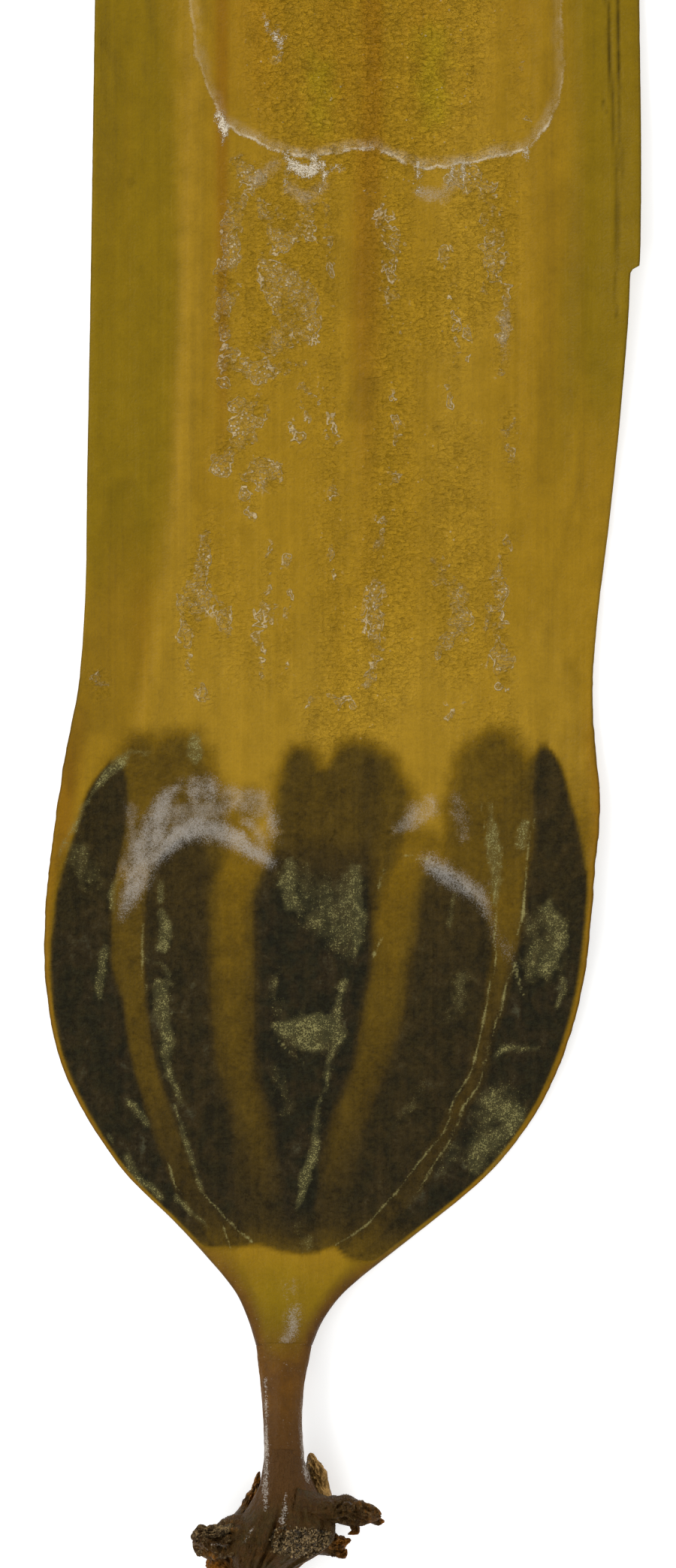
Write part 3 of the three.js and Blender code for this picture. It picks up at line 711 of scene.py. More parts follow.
    # Painted shade: a darker rim along the margins, weaker above the sori.
    fields["rim"] = (1 - smooth(from_margin / 0.8)) * (0.15 + 0.85 * (1 - smooth((y - 118) / 14)))
    fields["neck"] = np.zeros_like(x)
    fields["dust"] = strokes(x, y, DUST, 1.0)
    return fields


def stem_brown(y, across):
    """How brown the stem is: fully so below the blade, fading out up the blade's foot, and higher up
    along the two edges than in the middle."""
    up = smooth((y + 9) / 21)
    edge = 0.85 * smooth((across - 0.5) / 0.5) * (1 - smooth((y - 8) / 22))
    return 1 - up * (1 - edge)


def blade_relief(x, y, u, fields, sizes):
    """Height of the blade's middle layer and its thickness, in millimetres. The middle layer is the
    rise to the stipe, the curled margins, long folds as soft ridges, ruffles and broad unevenness;
    the sori and the dried slime stand up from the upper face as small steps."""
    margin = np.clip((np.abs(u) - 0.72) / 0.28, 0, 1)
    phase = 2 * math.pi * (y - CURL_START) / CURL_WAVE + np.where(u < 0, *CURL_PHASES)
    curl = sizes.curl_height / MM * margin ** 2 * (0.6 + 0.4 * np.sin(phase)) * smooth((y - 12) / 40)
    ruffle = 0.5 * margin * noise(y / 13, u * 1.5 + 9, 9, 2) * smooth((y - 20) / 30)
    crinkle = 0.25 * smooth((np.abs(u) - 0.9) / 0.1) * noise(y / 3.5, u * 4 + 3, 14, 2)
    rise = FOOT_RISE * np.clip(1 - y / RISE_REACH, 0, 1) ** 2
    folds = np.zeros_like(x)
    for marked, height, points in FOLDS:
        px, py, radius = zip(*sorted(points, key=lambda point: point[1]))
        half, centre = np.interp(y, py, radius), np.interp(y, py, px)
        ends = smooth((y - py[0]) / 8 + 0.3) * smooth((py[-1] + 14 - y) / 12)
        folds += height * bell((x - centre) / half) * ends
    uneven = 0.35 * noise(x / 22, y / 34, 10, 2) * smooth(y / 30)
    bubbles = 0.20 * np.abs(noise(x / 2.1, y / 1.3, 12, 2)) * fields["bubbly"] * sizes.wrinkle_strength
    arch = y + 0.14 * (x - 15.5) ** 2 + 1.2 * noise(x / 9, y / 9, 15, 2)
    chevron = 0.20 * np.sin(2 * math.pi * arch / 3.4) * bell((x - 15.5) / 7.0)
    chevron = chevron * smooth((y - 222) / 10)
    bowl = np.hypot(x - 6, (y - 262) / 1.15) + 1.0 * noise(x / 6, y / 6, 16, 2)
    bowls = 0.16 * np.sin(2 * math.pi * bowl / 4.6) * smooth((y - 226) / 8) * smooth((5 - x) / 8)
    slime = 0.22 * fields["crust_zone"] * np.abs(noise(x / 1.6, y / 1.6, 17, 2))
    slime = slime + 0.14 * fields["drying"] + 0.06 * fields["scrape"] * np.abs(noise(x, y, 18, 2))
    sorus = sizes.sorus_relief / MM * smooth(fields["dark"] * 1.2 - 0.2)
    upper = bubbles + chevron + bowls + slime + sorus + 0.12 * fields["hairline"] + 0.4 * folds
    middle = rise + curl + ruffle + crinkle + uneven + 0.6 * folds
    flat = smooth(y / 36)
    thick = (1 - flat) * FOOT_THICKNESS + flat * (sizes.strap_thickness / MM)
    rounding = np.sqrt(np.clip(1 - np.abs(u) ** (2 + 10 * flat), 0, 1))
    return middle, thick, rounding, upper * smooth(y / 6)


def blade_points(sizes):
    """Upper and lower face of the blade: the middle layer plus and minus half the thickness, drawn
    together to nothing at the margins; fine relief is on the upper face alone."""
    x, y, u = blade_plan(sizes)
    fields = blade_fields(x, y, u)
    middle, thick, rounding, upper = blade_relief(x, y, u, fields, sizes)
    shown = rounding * smooth((BLADE_ROWS - np.arange(BLADE_ROWS + 1)) / 2)[:, None]
    half = thick / 2 * shown
    centre = np.maximum(middle, 0) + thick / 2
    high = np.stack([x, y, centre + half + np.maximum(upper, -0.5 * half) * shown], axis=-1)
    low = np.stack([x, y, centre - half], axis=-1)
    return high, low, fields


# ---------- meshes ----------

# The tissue's fields that are drawn on its upper face alone, and those that the stipe has nowhere.
UPPER_ONLY = ("frost", "haze", "scrape", "hairline", "drying", "crust_zone", "shore_strength", "dust")
NOT_ON_STIPE = (*UPPER_ONLY[:-1], "dark", "bubbly", "crease", "speck_and_shade", "gold", "orange", "green",
                "shore", "rim")


def make_piece(name, points, faces, material, fields=None, replaces=(), flat_faces=0):
    """Puts points (in the frond's plan, millimetres) and faces into a mesh whose object sits at the
    frame's origin, turns it outwards by the sign of its volume, and hangs it on the frond's body.
    Points stay inside the solids' box. The last flat_faces faces are left flat."""
    place = np.clip((points + PLAN_ORIGIN) * MM, *CAD_BOX)
    mesh = bpy.data.meshes.new(name)
    mesh.from_pydata(place, [], faces)
    mesh.validate()
    a, b, c = place[np.array([face[:3] for face in faces]).T]
    if np.einsum("ij,ij->i", a, np.cross(b, c)).sum() < 0:
        mesh.flip_normals()
    rounded = np.ones(len(mesh.polygons), bool)
    rounded[len(faces) - flat_faces:] = False
    mesh.polygons.foreach_set("use_smooth", rounded)
    for field, values in (fields or {}).items():
        attribute = mesh.attributes.new(field, "FLOAT", "POINT")
        attribute.data.foreach_set("value", np.asarray(values, np.float32).ravel())
    mesh.materials.append(material)
    piece = bpy.data.objects.new(name, mesh)
    bpy.context.scene.collection.objects.link(piece)
    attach(piece, "root")
    if replaces:
        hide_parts(*replaces)
    return piece


def blade_mesh(high, low):
    """The two faces of the blade as one closed mesh: all points of the upper grid, every other point
    of the lower one, and the margins' and tip's points shared by both. Returns points, faces, of
    which the last closes the foot, and where in the grid the lower points are."""
    rows, columns = high.shape[:2]
    top = np.arange(rows * columns).reshape(rows, columns)
    upper = np.stack([top[:-1, :-1], top[:-1, 1:], top[1:, 1:], top[1:, :-1]], -1).reshape(-1, 4)
    under = np.full((rows, columns), -1)
    under[:, 0], under[:, -1], under[-1] = top[:, 0], top[:, -1], top[-1]
    inner = np.zeros((rows, columns), bool)
    inner[0:-1:2, 2:-1:2] = True
    under[inner] = rows * columns + np.arange(inner.sum())

    # Each lower face has four corners, and between them the shared points that lie on its sides.
    lower = np.full(((rows - 1) // 2, (columns - 1) // 2, 7), -1)
    lower[..., 0::2] = np.stack([under[:-2:2, :-2:2], under[2::2, :-2:2], under[2::2, 2::2],
                                 under[:-2:2, 2::2]], -1)
    lower[:, 0, 1] = top[1::2, 0]
    lower[-1, :, 3] = top[-1, 1::2]
    lower[:, -1, 5] = top[1::2, -1]
    lower = [[corner for corner in face if corner >= 0] for face in lower.reshape(-1, 7).tolist()]
    foot = under[0, 2:-1:2].tolist() + top[0, ::-1].tolist()
    points = np.concatenate([high.reshape(-1, 3), low[inner]])
    return points, upper.tolist() + lower + [foot], inner


def closed_tube(rings):
    """A grid of rings, (rings, sides, 3), as points and faces: quads between neighbouring rings and
    a fan to a middle point at each end."""
    count, sides = rings.shape[:2]
    grid = np.arange(count * sides).reshape(count, sides)
    onward = np.roll(grid, -1, axis=1)
    quads = np.stack([grid[:-1], onward[:-1], onward[1:], grid[1:]], axis=-1).reshape(-1, 4)
    first, last = count * sides, count * sides + 1
    starts = np.stack([onward[0], grid[0], np.full(sides, first)], axis=-1)
    ends = np.stack([grid[-1], onward[-1], np.full(sides, last)], axis=-1)
    points = np.concatenate([rings.reshape(-1, 3), [rings[0].mean(0)], [rings[-1].mean(0)]])
    return points, quads.tolist() + starts.tolist() + ends.tolist()


def ring_fields(values):
    """A field given on a tube's rings, with its two end points added."""
    return np.concatenate([np.ravel(values), [np.mean(values[0]), np.mean(values[-1])]])


# ---------- shader maths ----------

class Value:
    """A number that varies over a surface. Operators add Math nodes to its tree."""

    def __init__(self, tree, socket):
        self.tree = tree
        self.socket = socket

    def math(self, operation, first, second=0.0):
        node = self.tree.add("ShaderNodeMath", {"operation": operation}, {0: first, 1: second})
        return Value(self.tree, node.outputs[0])

    def __add__(self, other):
        return self.math("ADD", self, other)

    def __radd__(self, other):
        return self.math("ADD", other, self)

    def __sub__(self, other):
        return self.math("SUBTRACT", self, other)

    def __rsub__(self, other):
        return self.math("SUBTRACT", other, self)

    def __mul__(self, other):
        return self.math("MULTIPLY", self, other)

    def __rmul__(self, other):
        return self.math("MULTIPLY", other, self)

    def __abs__(self):
        return self.math("ABSOLUTE", self)

    def at_least(self, other):
        return self.math("MAXIMUM", self, other)

    def step(self, low, high, kind="SMOOTHSTEP"):
        """0 at low, 1 at high, smooth between."""
        node = self.tree.add("ShaderNodeMapRange", {"interpolation_type": kind},
                             {"Value": self, "From Min": low, "From Max": high})
        return Value(self.tree, node.outputs["Result"])

    def ramp(self, low, high):
        """0 at low, 1 at high, straight between."""
        return self.step(low, high, "LINEAR")


class Tree:
    """One material's nodes, and the one way that they are added."""

    def __init__(self, name, colours):
        self.colours = colours
        self.material = bpy.data.materials.new(name)
        self.material.use_nodes = True
        self.nodes = self.material.node_tree.nodes
        self.links = self.material.node_tree.links
        self.nodes.clear()
        texture = self.add("ShaderNodeTexCoord")
        scaled = self.add("ShaderNodeVectorMath", {"operation": "SCALE"},
                          {0: texture.outputs["Object"], "Scale": 1 / MM})
        self.place = scaled.outputs[0]

    def add(self, kind, settings=None, inputs=None):
        node = self.nodes.new(kind)
        for name, value in (settings or {}).items():
            setattr(node, name, value)
        for name, value in (inputs or {}).items():
            if isinstance(value, Value):
                self.links.new(value.socket, node.inputs[name])
            elif isinstance(value, bpy.types.NodeSocket):
                self.links.new(value, node.inputs[name])
            else:
                node.inputs[name].default_value = value
        return node

    def field(self, name):
        node = self.add("ShaderNodeAttribute", {"attribute_name": name})
        return Value(self, node.outputs["Fac"])

    def pattern(self, kind, size, settings=None):
        """A texture node whose grain measures size = (x, y, z) millimetres, or the same all round."""
        grain = size if isinstance(size, tuple) else (size, size, size)
        stretched = self.add("ShaderNodeVectorMath", {"operation": "MULTIPLY"},
                             {0: self.place, 1: [1 / length for length in grain]})
        return self.add(kind, None, {"Vector": stretched.outputs[0], "Scale": 1.0, **(settings or {})})

    def noise(self, size, detail=2.0, roughness=0.5, distortion=0.0):
        """Random relief from about −1 to 1."""
        node = self.pattern("ShaderNodeTexNoise", size, {
            "Detail": detail, "Roughness": roughness, "Distortion": distortion,
        })
        return (Value(self, node.outputs[0]) - 0.5) * 3.0

    def cells(self, size):
        """Distance from the nearest of many scattered points, in grains."""
        return Value(self, self.pattern("ShaderNodeTexVoronoi", size).outputs["Distance"])

    def colour(self, given):
        """A colour setting by its name, or a socket as it is."""
        return (*getattr(self.colours, given), 1.0) if isinstance(given, str) else given

    def mix(self, factor, first, second):
        """The first colour where factor is 0, the second where it is 1."""
        node = self.add("ShaderNodeMix", {"data_type": "RGBA", "clamp_factor": True},
                        {0: factor, 6: self.colour(first), 7: self.colour(second)})
        return node.outputs[2]

    def shade(self, colour, amount):
        """The colour times a varying number."""
        node = self.add("ShaderNodeVectorMath", {"operation": "SCALE"}, {0: colour, "Scale": amount})
        return node.outputs[0]

    def finish(self, colour, roughness, height, depth, gloss, constants=None):
        """The shader itself. One unit of height is depth millimetres of relief."""
        bump = self.add("ShaderNodeBump", None, {"Strength": 1.0, "Distance": depth * MM,
                                                 "Height": height})
        shader = self.add("ShaderNodeBsdfPrincipled", None, {
            "Base Color": colour, "Roughness": roughness, "Normal": bump.outputs[0],
            "Specular IOR Level": gloss, **(constants or {}),
        })
        output = self.add("ShaderNodeOutputMaterial")
        self.links.new(shader.outputs[0], output.inputs["Surface"])
        return self.material


def spots(presence, texture, low, high, sure=0.3, rise=0.0):
    """Broken spots of a texture where presence is above 0, and none where it is 0."""
    return (presence + texture).step(low, high) * presence.step(rise, sure)


def tissue_material(name, colours, sizes):
    """Leathery blade and stem tissue: ochre, olive and gold along the blade, brown at the stem,
    near black on the sori, with frost, scrapes, drying lines and squiggles of dried slime. Painted
    shade and highlights lie on the bubbly relief and the left ridge, and painted shade lies in the
    creases, along furrows and margins and beside the slime's outlines."""
    tree = Tree(name, colours)
    broad = tree.noise((8, 70, 8), 2.0)
    streak = tree.noise((1.1, 50, 2.5), 2.0, 0.5)
    soft = tree.noise((3.6, 5.0, 3.6), 2.0, 0.5)
    patchy = tree.noise((2.6, 3.0, 2.6), 2.0, 0.55, 0.4)
    pebble = tree.noise((1.0, 0.60, 1.0), 2.0, 0.55, 0.5)
    grain = tree.noise(0.34, 2.0, 0.6)
    fine = tree.noise(0.17, 1.0, 0.5)

    plain = tree.mix((tree.field("orange") + broad * 0.28 + streak * 0.08).step(0.05, 1.0),
                     "ochre", "orange")
    plain = tree.mix((tree.field("olive") + broad * 0.22 + streak * 0.06).step(0.1, 0.95),
                     plain, "olive")
    plain = tree.mix((tree.field("gold") + soft * 0.15 + streak * 0.08).step(0.1, 1.0),
                     plain, "gold")
    plain = tree.mix((tree.field("green") + patchy * 0.3).step(0.3, 1.1) * 0.75, plain, "green")
    zone = tree.field("crust_zone")
    rough = tree.field("bubbly").at_least(zone * 0.8)
    # Painted shade and highlight: the colour is lightened where these noises raise the bump and darkened in
    # their hollows, most on the bubbly zones, with random tone from the broad noise. The next line also
    # brightens the bubbly zones as a whole, as painted light that makes up for the darkening by their
    # bumps.
    relief_shade_and_tone = (pebble * (rough * 0.18 + 0.07) + soft * 0.10 + streak * 0.08 + patchy * (rough * 0.12 + 0.05)
              + grain * (rough * 0.08 + 0.08) + broad * 0.08)
    plain = tree.shade(plain, (1.0 + relief_shade_and_tone) * (1.0 + rough * 0.24))

    brown = tree.field("brown")
    stem = tree.mix((streak * 0.25 + soft * 0.4 + 0.5).step(0.1, 0.9), "stem", "stem_dark")
    stem = tree.mix(tree.field("neck"), stem, "stem_dark")
    stem = tree.shade(stem, 1.0 + streak * 0.10 + grain * 0.14 + pebble * 0.10)
    foot = tree.shade(plain, 1.0 - brown.step(0.0, 0.3) * 0.16 + patchy * brown.step(0.0, 0.3) * 0.08)
    base = tree.mix((brown + soft * 0.12).step(0.05, 0.95), foot, stem)

    # From tissue that lets light through, by olive-brown half shades, to the blackish sori.
    dark = tree.field("dark")
    dark = dark + soft * 0.05 * dark.step(0.0, 0.4)
    darkness = dark + grain * 0.07 * dark + pebble * 0.05 * dark
    fertile = tree.mix((soft * 0.6 + patchy * 0.5 + 0.5).step(0.1, 0.9), "sorus", "sorus_brown")
    fertile = tree.mix((soft * 0.5 + patchy * 0.6 + grain * 0.2 + broad * 0.3).step(0.20, 1.1) * 0.7,
                       fertile, "sorus_grey")
    colour = base
    for low, high, darker in ((0.0, 0.35, "strip_pale"), (0.35, 0.55, "strip"),
                              (0.55, 0.75, "strip_dark"), (0.75, 1.0, fertile)):
        colour = tree.mix(darkness.ramp(low, high), colour, darker)
    crackle = tree.cells(0.95) * 2.0 - 0.8
    mottle = (pebble * 0.45 + grain * 0.55 + patchy * 0.55 + soft * 0.42 + streak * 0.26
              - crackle * 0.25)
    colour = tree.shade(colour, (1.0 + mottle * dark).at_least(0.45))

    # Painted shade: dark lines in the marked creases and the crack, darkening along the furrows, and a
    # darker margin rim, together with real dark specks.
    shade_and_specks = tree.field("crease") * 0.75 + tree.field("speck_and_shade") * 0.34 + tree.field("rim") * 0.30
    colour = tree.shade(colour, (1.0 - shade_and_specks).at_least(0.2))

    frost = tree.field("frost")
    frost_dots = spots(frost, fine * 0.40 + grain * 0.35 + patchy * 0.28, 0.25, 1.35, 0.25)
    haze_dots = spots(tree.field("haze"), fine * 0.5 + grain * 0.35 + patchy * 0.45, 0.35, 1.9)
    colour = tree.mix((frost_dots * 0.62).at_least(haze_dots * 0.5), colour, "frost")
    scrape = tree.field("scrape")
    scratch = (scrape * 0.9 + fine * 0.65 + grain * 0.65 + pebble * 0.40 + patchy * 0.55).step(0.74, 1.45)
    scratch = scratch * scrape.step(0.02, 0.3)
    veil = (scrape + patchy * 0.4).step(0.2, 1.0) * 0.13
    colour = tree.mix((scratch * 0.85).at_least(veil), colour, "scrape")
    hairs = spots(tree.field("hairline"), grain * 0.45 + patchy * 0.40, 0.35, 1.25)
    colour = tree.mix(hairs * 0.7, colour, "scrape")

    # Dried slime: outlined patches, worm-like squiggles and lumps inside them, and a drying line.
    patch = zone * 0.95 + patchy * 0.80 + soft * 0.30 - 0.62
    inside = patch.step(0.0, 0.35) * zone.step(0.02, 0.4)
    outline = (1.0 - abs(patch - 0.06 + grain * 0.05).step(0.02, 0.09)) * zone.step(0.05, 0.4)
    outline = outline * (soft * 1.4 + pebble * 0.8 + 0.35).step(0.2, 0.9)
    ripple = tree.noise((1.7, 1.3, 1.7), 2.0, 0.35, 1.6)
    worm = 1.0 - abs(ripple + grain * 0.04).step(0.03, 0.13)
    worm = worm.at_least(0.8 - abs(ripple - 0.42 + grain * 0.04).step(0.02, 0.10) * 0.8)
    worm = worm * inside * (patchy * 0.9 + pebble * 0.6 + 0.38).step(0.1, 0.8)
    lump = (1.0 - tree.cells(0.9).step(0.20, 0.34)) * inside * (soft * 1.6).step(0.1, 0.6)
    dots = (1.0 - tree.cells(1.3).step(0.10, 0.2)) * rough * (patchy * 1.6).step(0.2, 0.8)
    film = inside * (0.03 + patchy * 0.03)
    shore = tree.field("shore") + grain * 0.20 + fine * 0.16 + pebble * 0.14
    line = 1.0 - abs(shore + 0.05).step(0.04, 0.40)
    line = line * (patchy * 0.7 + soft * 0.5 + grain * 0.5 + 0.62).step(0.0, 1.0)
    above = shore.step(0.0, 0.2) * (1.0 - shore.step(0.3, 2.4)) * (0.42 + fine * 0.8 + patchy * 0.6)
    run = spots(tree.field("drying"), grain * 0.60 + fine * 0.6 + patchy * 0.5, 0.45, 1.15)
    drying = ((line * 0.68 + above * 0.42) * tree.field("shore_strength")).at_least(run * 0.9)
    squiggle = (outline * 0.60).at_least(worm * 0.60).at_least(lump * 0.72).at_least(dots * 0.5)
    slime = squiggle.at_least(film)
    colour = tree.mix(slime, colour, "slime")
    colour = tree.mix(drying, colour, "powder")
    white = slime.at_least(drying)
    shade_under = (1.0 - abs(patch - 0.17).step(0.02, 0.10)) * zone.step(0.1, 0.5)
    colour = tree.shade(colour, 1.0 - shade_under * 0.16 * (1.0 - white))

    dust = spots(tree.field("dust"), fine * 0.6 + grain * 0.7 + patchy * 0.3, 0.70, 1.15, 0.4, 0.02)
    speckle = (fine * 0.7 + grain * 0.9 + patchy * 0.3).step(0.85, 1.3) * brown.step(0.2, 0.8)
    colour = tree.mix((dust * 0.75).at_least(speckle * 0.6), colour, "dust")

    roughness = 0.33 + white * 0.35 + frost * 0.2 + grain * 0.06 + dark * 0.03
    height = (grain * 0.05 + pebble * (rough * 0.42 + 0.05) + squiggle * 0.30 + drying * 0.14
              + scratch * 0.08 + (grain * 0.07 + pebble * 0.08) * dark + patchy * rough * 0.40
              + soft * 0.10 + streak * 0.06)
    return tree.finish(colour, roughness, height, 1.0, sizes.gloss)


def holdfast_material(name, colours, pale=False):
    """Dark, creased holdfast tissue: brown with orange thin edges, painted shade in its hollows and painted
    highlights on its raised creases and crumbs, grit and pale crust on top.
    """
    tree = Tree(name, colours)
    soft = tree.noise(2.6, 2.0, 0.6, 0.4)
    crumb = tree.noise(0.8, 3.0, 0.65)
    grain = tree.noise(0.30, 2.0, 0.6)
    crease = tree.noise((0.9, 3.6, 1.1), 3.0, 0.6, 0.6)
    thin = tree.field("thin")
    crusty = tree.field("crusty")
    tissue = tree.mix((soft * 0.5 + crease * 0.4 + 0.5).step(0.1, 0.9), "holdfast",
                      "holdfast_olive")
    tissue = tree.mix((tree.field("neck") + soft * 0.2).step(0.1, 0.9), tissue, "stem_dark")
    tissue = tree.mix((thin + soft * 0.35 + crease * 0.30).step(0.22, 0.95), tissue,
                      "pale_flap" if pale else "thin_edge")
    # Painted shade and highlight: lighter where the crease, crumb and grain noises raise the bump and
    # darker in their hollows, with random tone from the soft noise, and less so at the neck.
    tissue = tree.shade(tissue, 1.0 + (crease * 0.45 + crumb * 0.36 + soft * 0.18 + grain * 0.12)
                        * (1.0 - tree.field("neck") * 0.75))
    crust = (crusty + crumb * 0.6 + grain * 0.4).step(0.40, 0.9)
    gritty = tree.mix((crumb * 0.9 + grain * 0.8 + 0.4).step(0.2, 0.95), "grit_dark", "grit")
    colour = tree.mix(crust * 0.9, tissue, gritty)
    dust = spots(tree.field("dust"), crumb * 0.4 + grain, 0.75, 1.25, 0.4, 0.02)
    specks = (crumb * 0.6 + grain).step(1.0, 1.4) * 0.45
    colour = tree.mix((dust * 0.75).at_least(specks), colour, "dust")
    roughness = 0.42 + crust * 0.3 + grain * 0.08
    height = crumb * 0.22 + crease * 0.22 + grain * 0.07 + crust * 0.14
    return tree.finish(colour, roughness, height, 1.2, 0.08)


def grit_material(name, colours):
    """Sand and shell grains: dark, tan and near white by turns."""
    tree = Tree(name, colours)
    which = tree.noise(0.7, 1.0)
    colour = tree.mix((which + 0.4).step(0.0, 0.9), "grit_dark", "grit")
    colour = tree.mix(which.step(0.7, 1.0) * 0.8, colour, "dust")
    return tree.finish(colour, 0.6, which, 0.05, 0.2)


def floor_material(name, colours):
    """A plain pale matt floor, faintly lit from within as a light table is, so that shadows stay soft."""
    tree = Tree(name, colours)
    mottle = tree.noise(60, 2.0)
    colour = tree.shade(colours.floor, 1.0 + mottle * 0.01)
    return tree.finish(colour, 0.9, mottle, 0.02, 0.1, {"Emission Color": WHITE,
                                                       "Emission Strength": FLOOR_GLOW})


# ---------- settings ----------

def length(name, description, millimetres):
    return bpy.props.FloatProperty(name=name, description=description, default=millimetres * MM,
                                   unit="LENGTH", subtype="DISTANCE", precision=5)


def tone(name, description, red, green, blue):
    """A colour setting, given as eight-bit screen values and kept as light."""
    light = [((c / 255 + 0.055) / 1.055) ** 2.4 if c > 10 else c / 255 / 12.92
             for c in (red, green, blue)]
    return bpy.props.FloatVectorProperty(name=name, description=description, default=light, size=3,
                                         subtype="COLOR", min=0.0, max=1.0)


class KelpSizes(bpy.types.PropertyGroup):
    """Sizes of the frond's fine relief and of the stage."""
    strap_thickness: length("Strap thickness", "Thickness of the plain blade", 1.1)
    sorus_relief: length("Sorus relief", "How far the fertile patches stand up", 0.28)
    curl_height: length("Margin curl", "How far the margins curl off the surface", 3.0)
    margin_crowding: bpy.props.FloatProperty(
        name="Margin crowding", description="Above 0 draws the margins more finely", default=0.12)
    wrinkle_strength: bpy.props.FloatProperty(
        name="Wrinkles", description="Strength of the bubbly wrinkles", default=1.0)
    gloss: bpy.props.FloatProperty(
        name="Gloss", description="Mirror strength of the blade's skin", default=0.06)
    seen_length: length("Seen length", "Length of frond that the camera takes in", 295.9)
    seen_centre_x: length("View centre, across", "From the stipe's axis to the view's middle", 10.2)
    seen_centre_y: length("View centre, along", "From the blade's base to the view's middle", 105.8)
    lens: bpy.props.FloatProperty(name="Lens", description="Focal length in millimetres",
                                  default=400.0)


class KelpColours(bpy.types.PropertyGroup):
    """Colours of the frond's tissues and of the floor."""
    ochre: tone("Ochre", "Plain blade", 132, 101, 17)
    # Orange is the tissue's own colour, except in the narrow line beside the left ridge, where it is
    # painted shade in the furrow.
    orange: tone("Orange", "Orange bands and the bubbly middle of the blade", 121, 85, 9)
    olive: tone("Olive", "Side margins", 114, 91, 9)
    # Gold is the tissue's own colour above the sori; along the ridge left of the middle it is a painted
    # highlight.
    gold: tone("Gold", "Pale ridge and the zone above the sori", 138, 107, 24)
    green: tone("Green", "Greenish patches", 127, 106, 13)
    strip_pale: tone("Strip, pale", "Palest between the sori", 101, 76, 5)
    strip: tone("Strip", "Between the sori", 76, 58, 7)
    strip_dark: tone("Strip, dark", "Darkest between the sori", 52, 40, 10)
    sorus: tone("Sorus", "Fertile patches, greenish black", 31, 30, 15)
    sorus_brown: tone("Sorus brown", "Fertile patches, brownish black", 35, 27, 11)
    sorus_grey: tone("Sorus bloom", "Greenish grey bloom on the fertile tissue", 58, 60, 44)
    frost: tone("Frost", "Dried grey bloom", 160, 156, 150)
    dust: tone("Dust", "Pale dust on the stem and holdfast", 163, 155, 144)
    scrape: tone("Scrape", "Rubbed yellow-green skin", 142, 135, 84)
    powder: tone("Powder", "White powder along the drying line", 205, 194, 172)
    slime: tone("Slime", "Dried pale slime", 190, 174, 142)
    stem: tone("Stem", "Stipe", 94, 61, 14)
    stem_dark: tone("Stem, dark", "Stipe in its creases and towards the holdfast", 72, 47, 18)
    holdfast: tone("Holdfast", "Holdfast tissue", 68, 44, 15)
    holdfast_olive: tone("Holdfast, olive", "Holdfast tissue in its hollows", 51, 39, 15)
    thin_edge: tone("Thin edge", "Thin orange-brown flaps", 124, 76, 16)
    pale_flap: tone("Pale flap", "The pale thin flap", 172, 134, 76)
    grit: tone("Grit", "Sand and shell stuck to the holdfast", 130, 108, 72)
    grit_dark: tone("Grit, dark", "Dark grains", 42, 34, 22)
    floor: tone("Floor", "Pale floor", 244, 244, 243)


# ---------- operators ----------

class KELP_OT_blade(bpy.types.Operator):
    """Makes the blade with its sori, folds, wrinkles and dried slime"""
    bl_idname = "kelp.blade"
    bl_label = "Blade"

    def execute(self, context):
        sizes, colours = context.scene.kelp_sizes, context.scene.kelp_colours
        high, low, fields = blade_points(sizes)
        points, faces, inner = blade_mesh(high, low)
        values = {name: np.concatenate([field.ravel(), field[inner] * (name not in UPPER_ONLY)])
                  for name, field in fields.items()}
        material = tissue_material("blade_tissue", colours, sizes)
        make_piece("blade_leaf", points, faces, material, values, ("blade",), 1)
        return {"FINISHED"}


class KELP_OT_stipe(bpy.types.Operator):
    """Makes the stipe, an oval stem with fine lengthwise creases"""
    bl_idname = "kelp.stipe"
    bl_label = "Stipe"

    def execute(self, context):
        sizes, colours = context.scene.kelp_sizes, context.scene.kelp_colours
        y = np.linspace(STEM_ROWS["y"][0] - INTO_DISC, INTO_BLADE, STIPE_RINGS)[:, None]
        angle = np.linspace(0, 2 * math.pi, STIPE_SIDES, endpoint=False)[None, :]
        centre_x, centre_z, half_width, half_height = stem_section(y)
        into_blade = smooth((y + 3) / 3.5)
        centre_z = centre_z * (1 - into_blade) + (FOOT_RISE + FOOT_THICKNESS / 2) * into_blade
        crease = 0.02 * noise(angle * 3, y / 9, 21, 3) + 0.012 * noise(angle * 14, y / 1.2, 22, 2)
        grow = 1 + crease * (1 - into_blade) - 0.004 * into_blade
        x = centre_x + half_width * grow * np.cos(angle)
        z = centre_z + half_height * grow * np.sin(angle)
        rings = np.stack(np.broadcast_arrays(x, y, z), axis=-1)
        points, faces = closed_tube(rings)
        across = np.abs(np.cos(angle)) + 0 * y
        zero = np.zeros_like(across)
        fields = {name: zero for name in NOT_ON_STIPE}
        fields["olive"] = zero + 0.75
        fields["neck"] = 1 - smooth((y + 21) / 16) + 0 * across
        fields["dust"] = strokes(x, y + 0 * x, DUST, 1.0) * (np.sin(angle) > 0)
        fields["brown"] = stem_brown(y, across)
        values = {name: ring_fields(field) for name, field in fields.items()}
        material = tissue_material("stipe_tissue", colours, sizes)
        make_piece("stipe_stem", points, faces, material, values, ("stipe",),
                   2 * STIPE_SIDES)
        return {"FINISHED"}


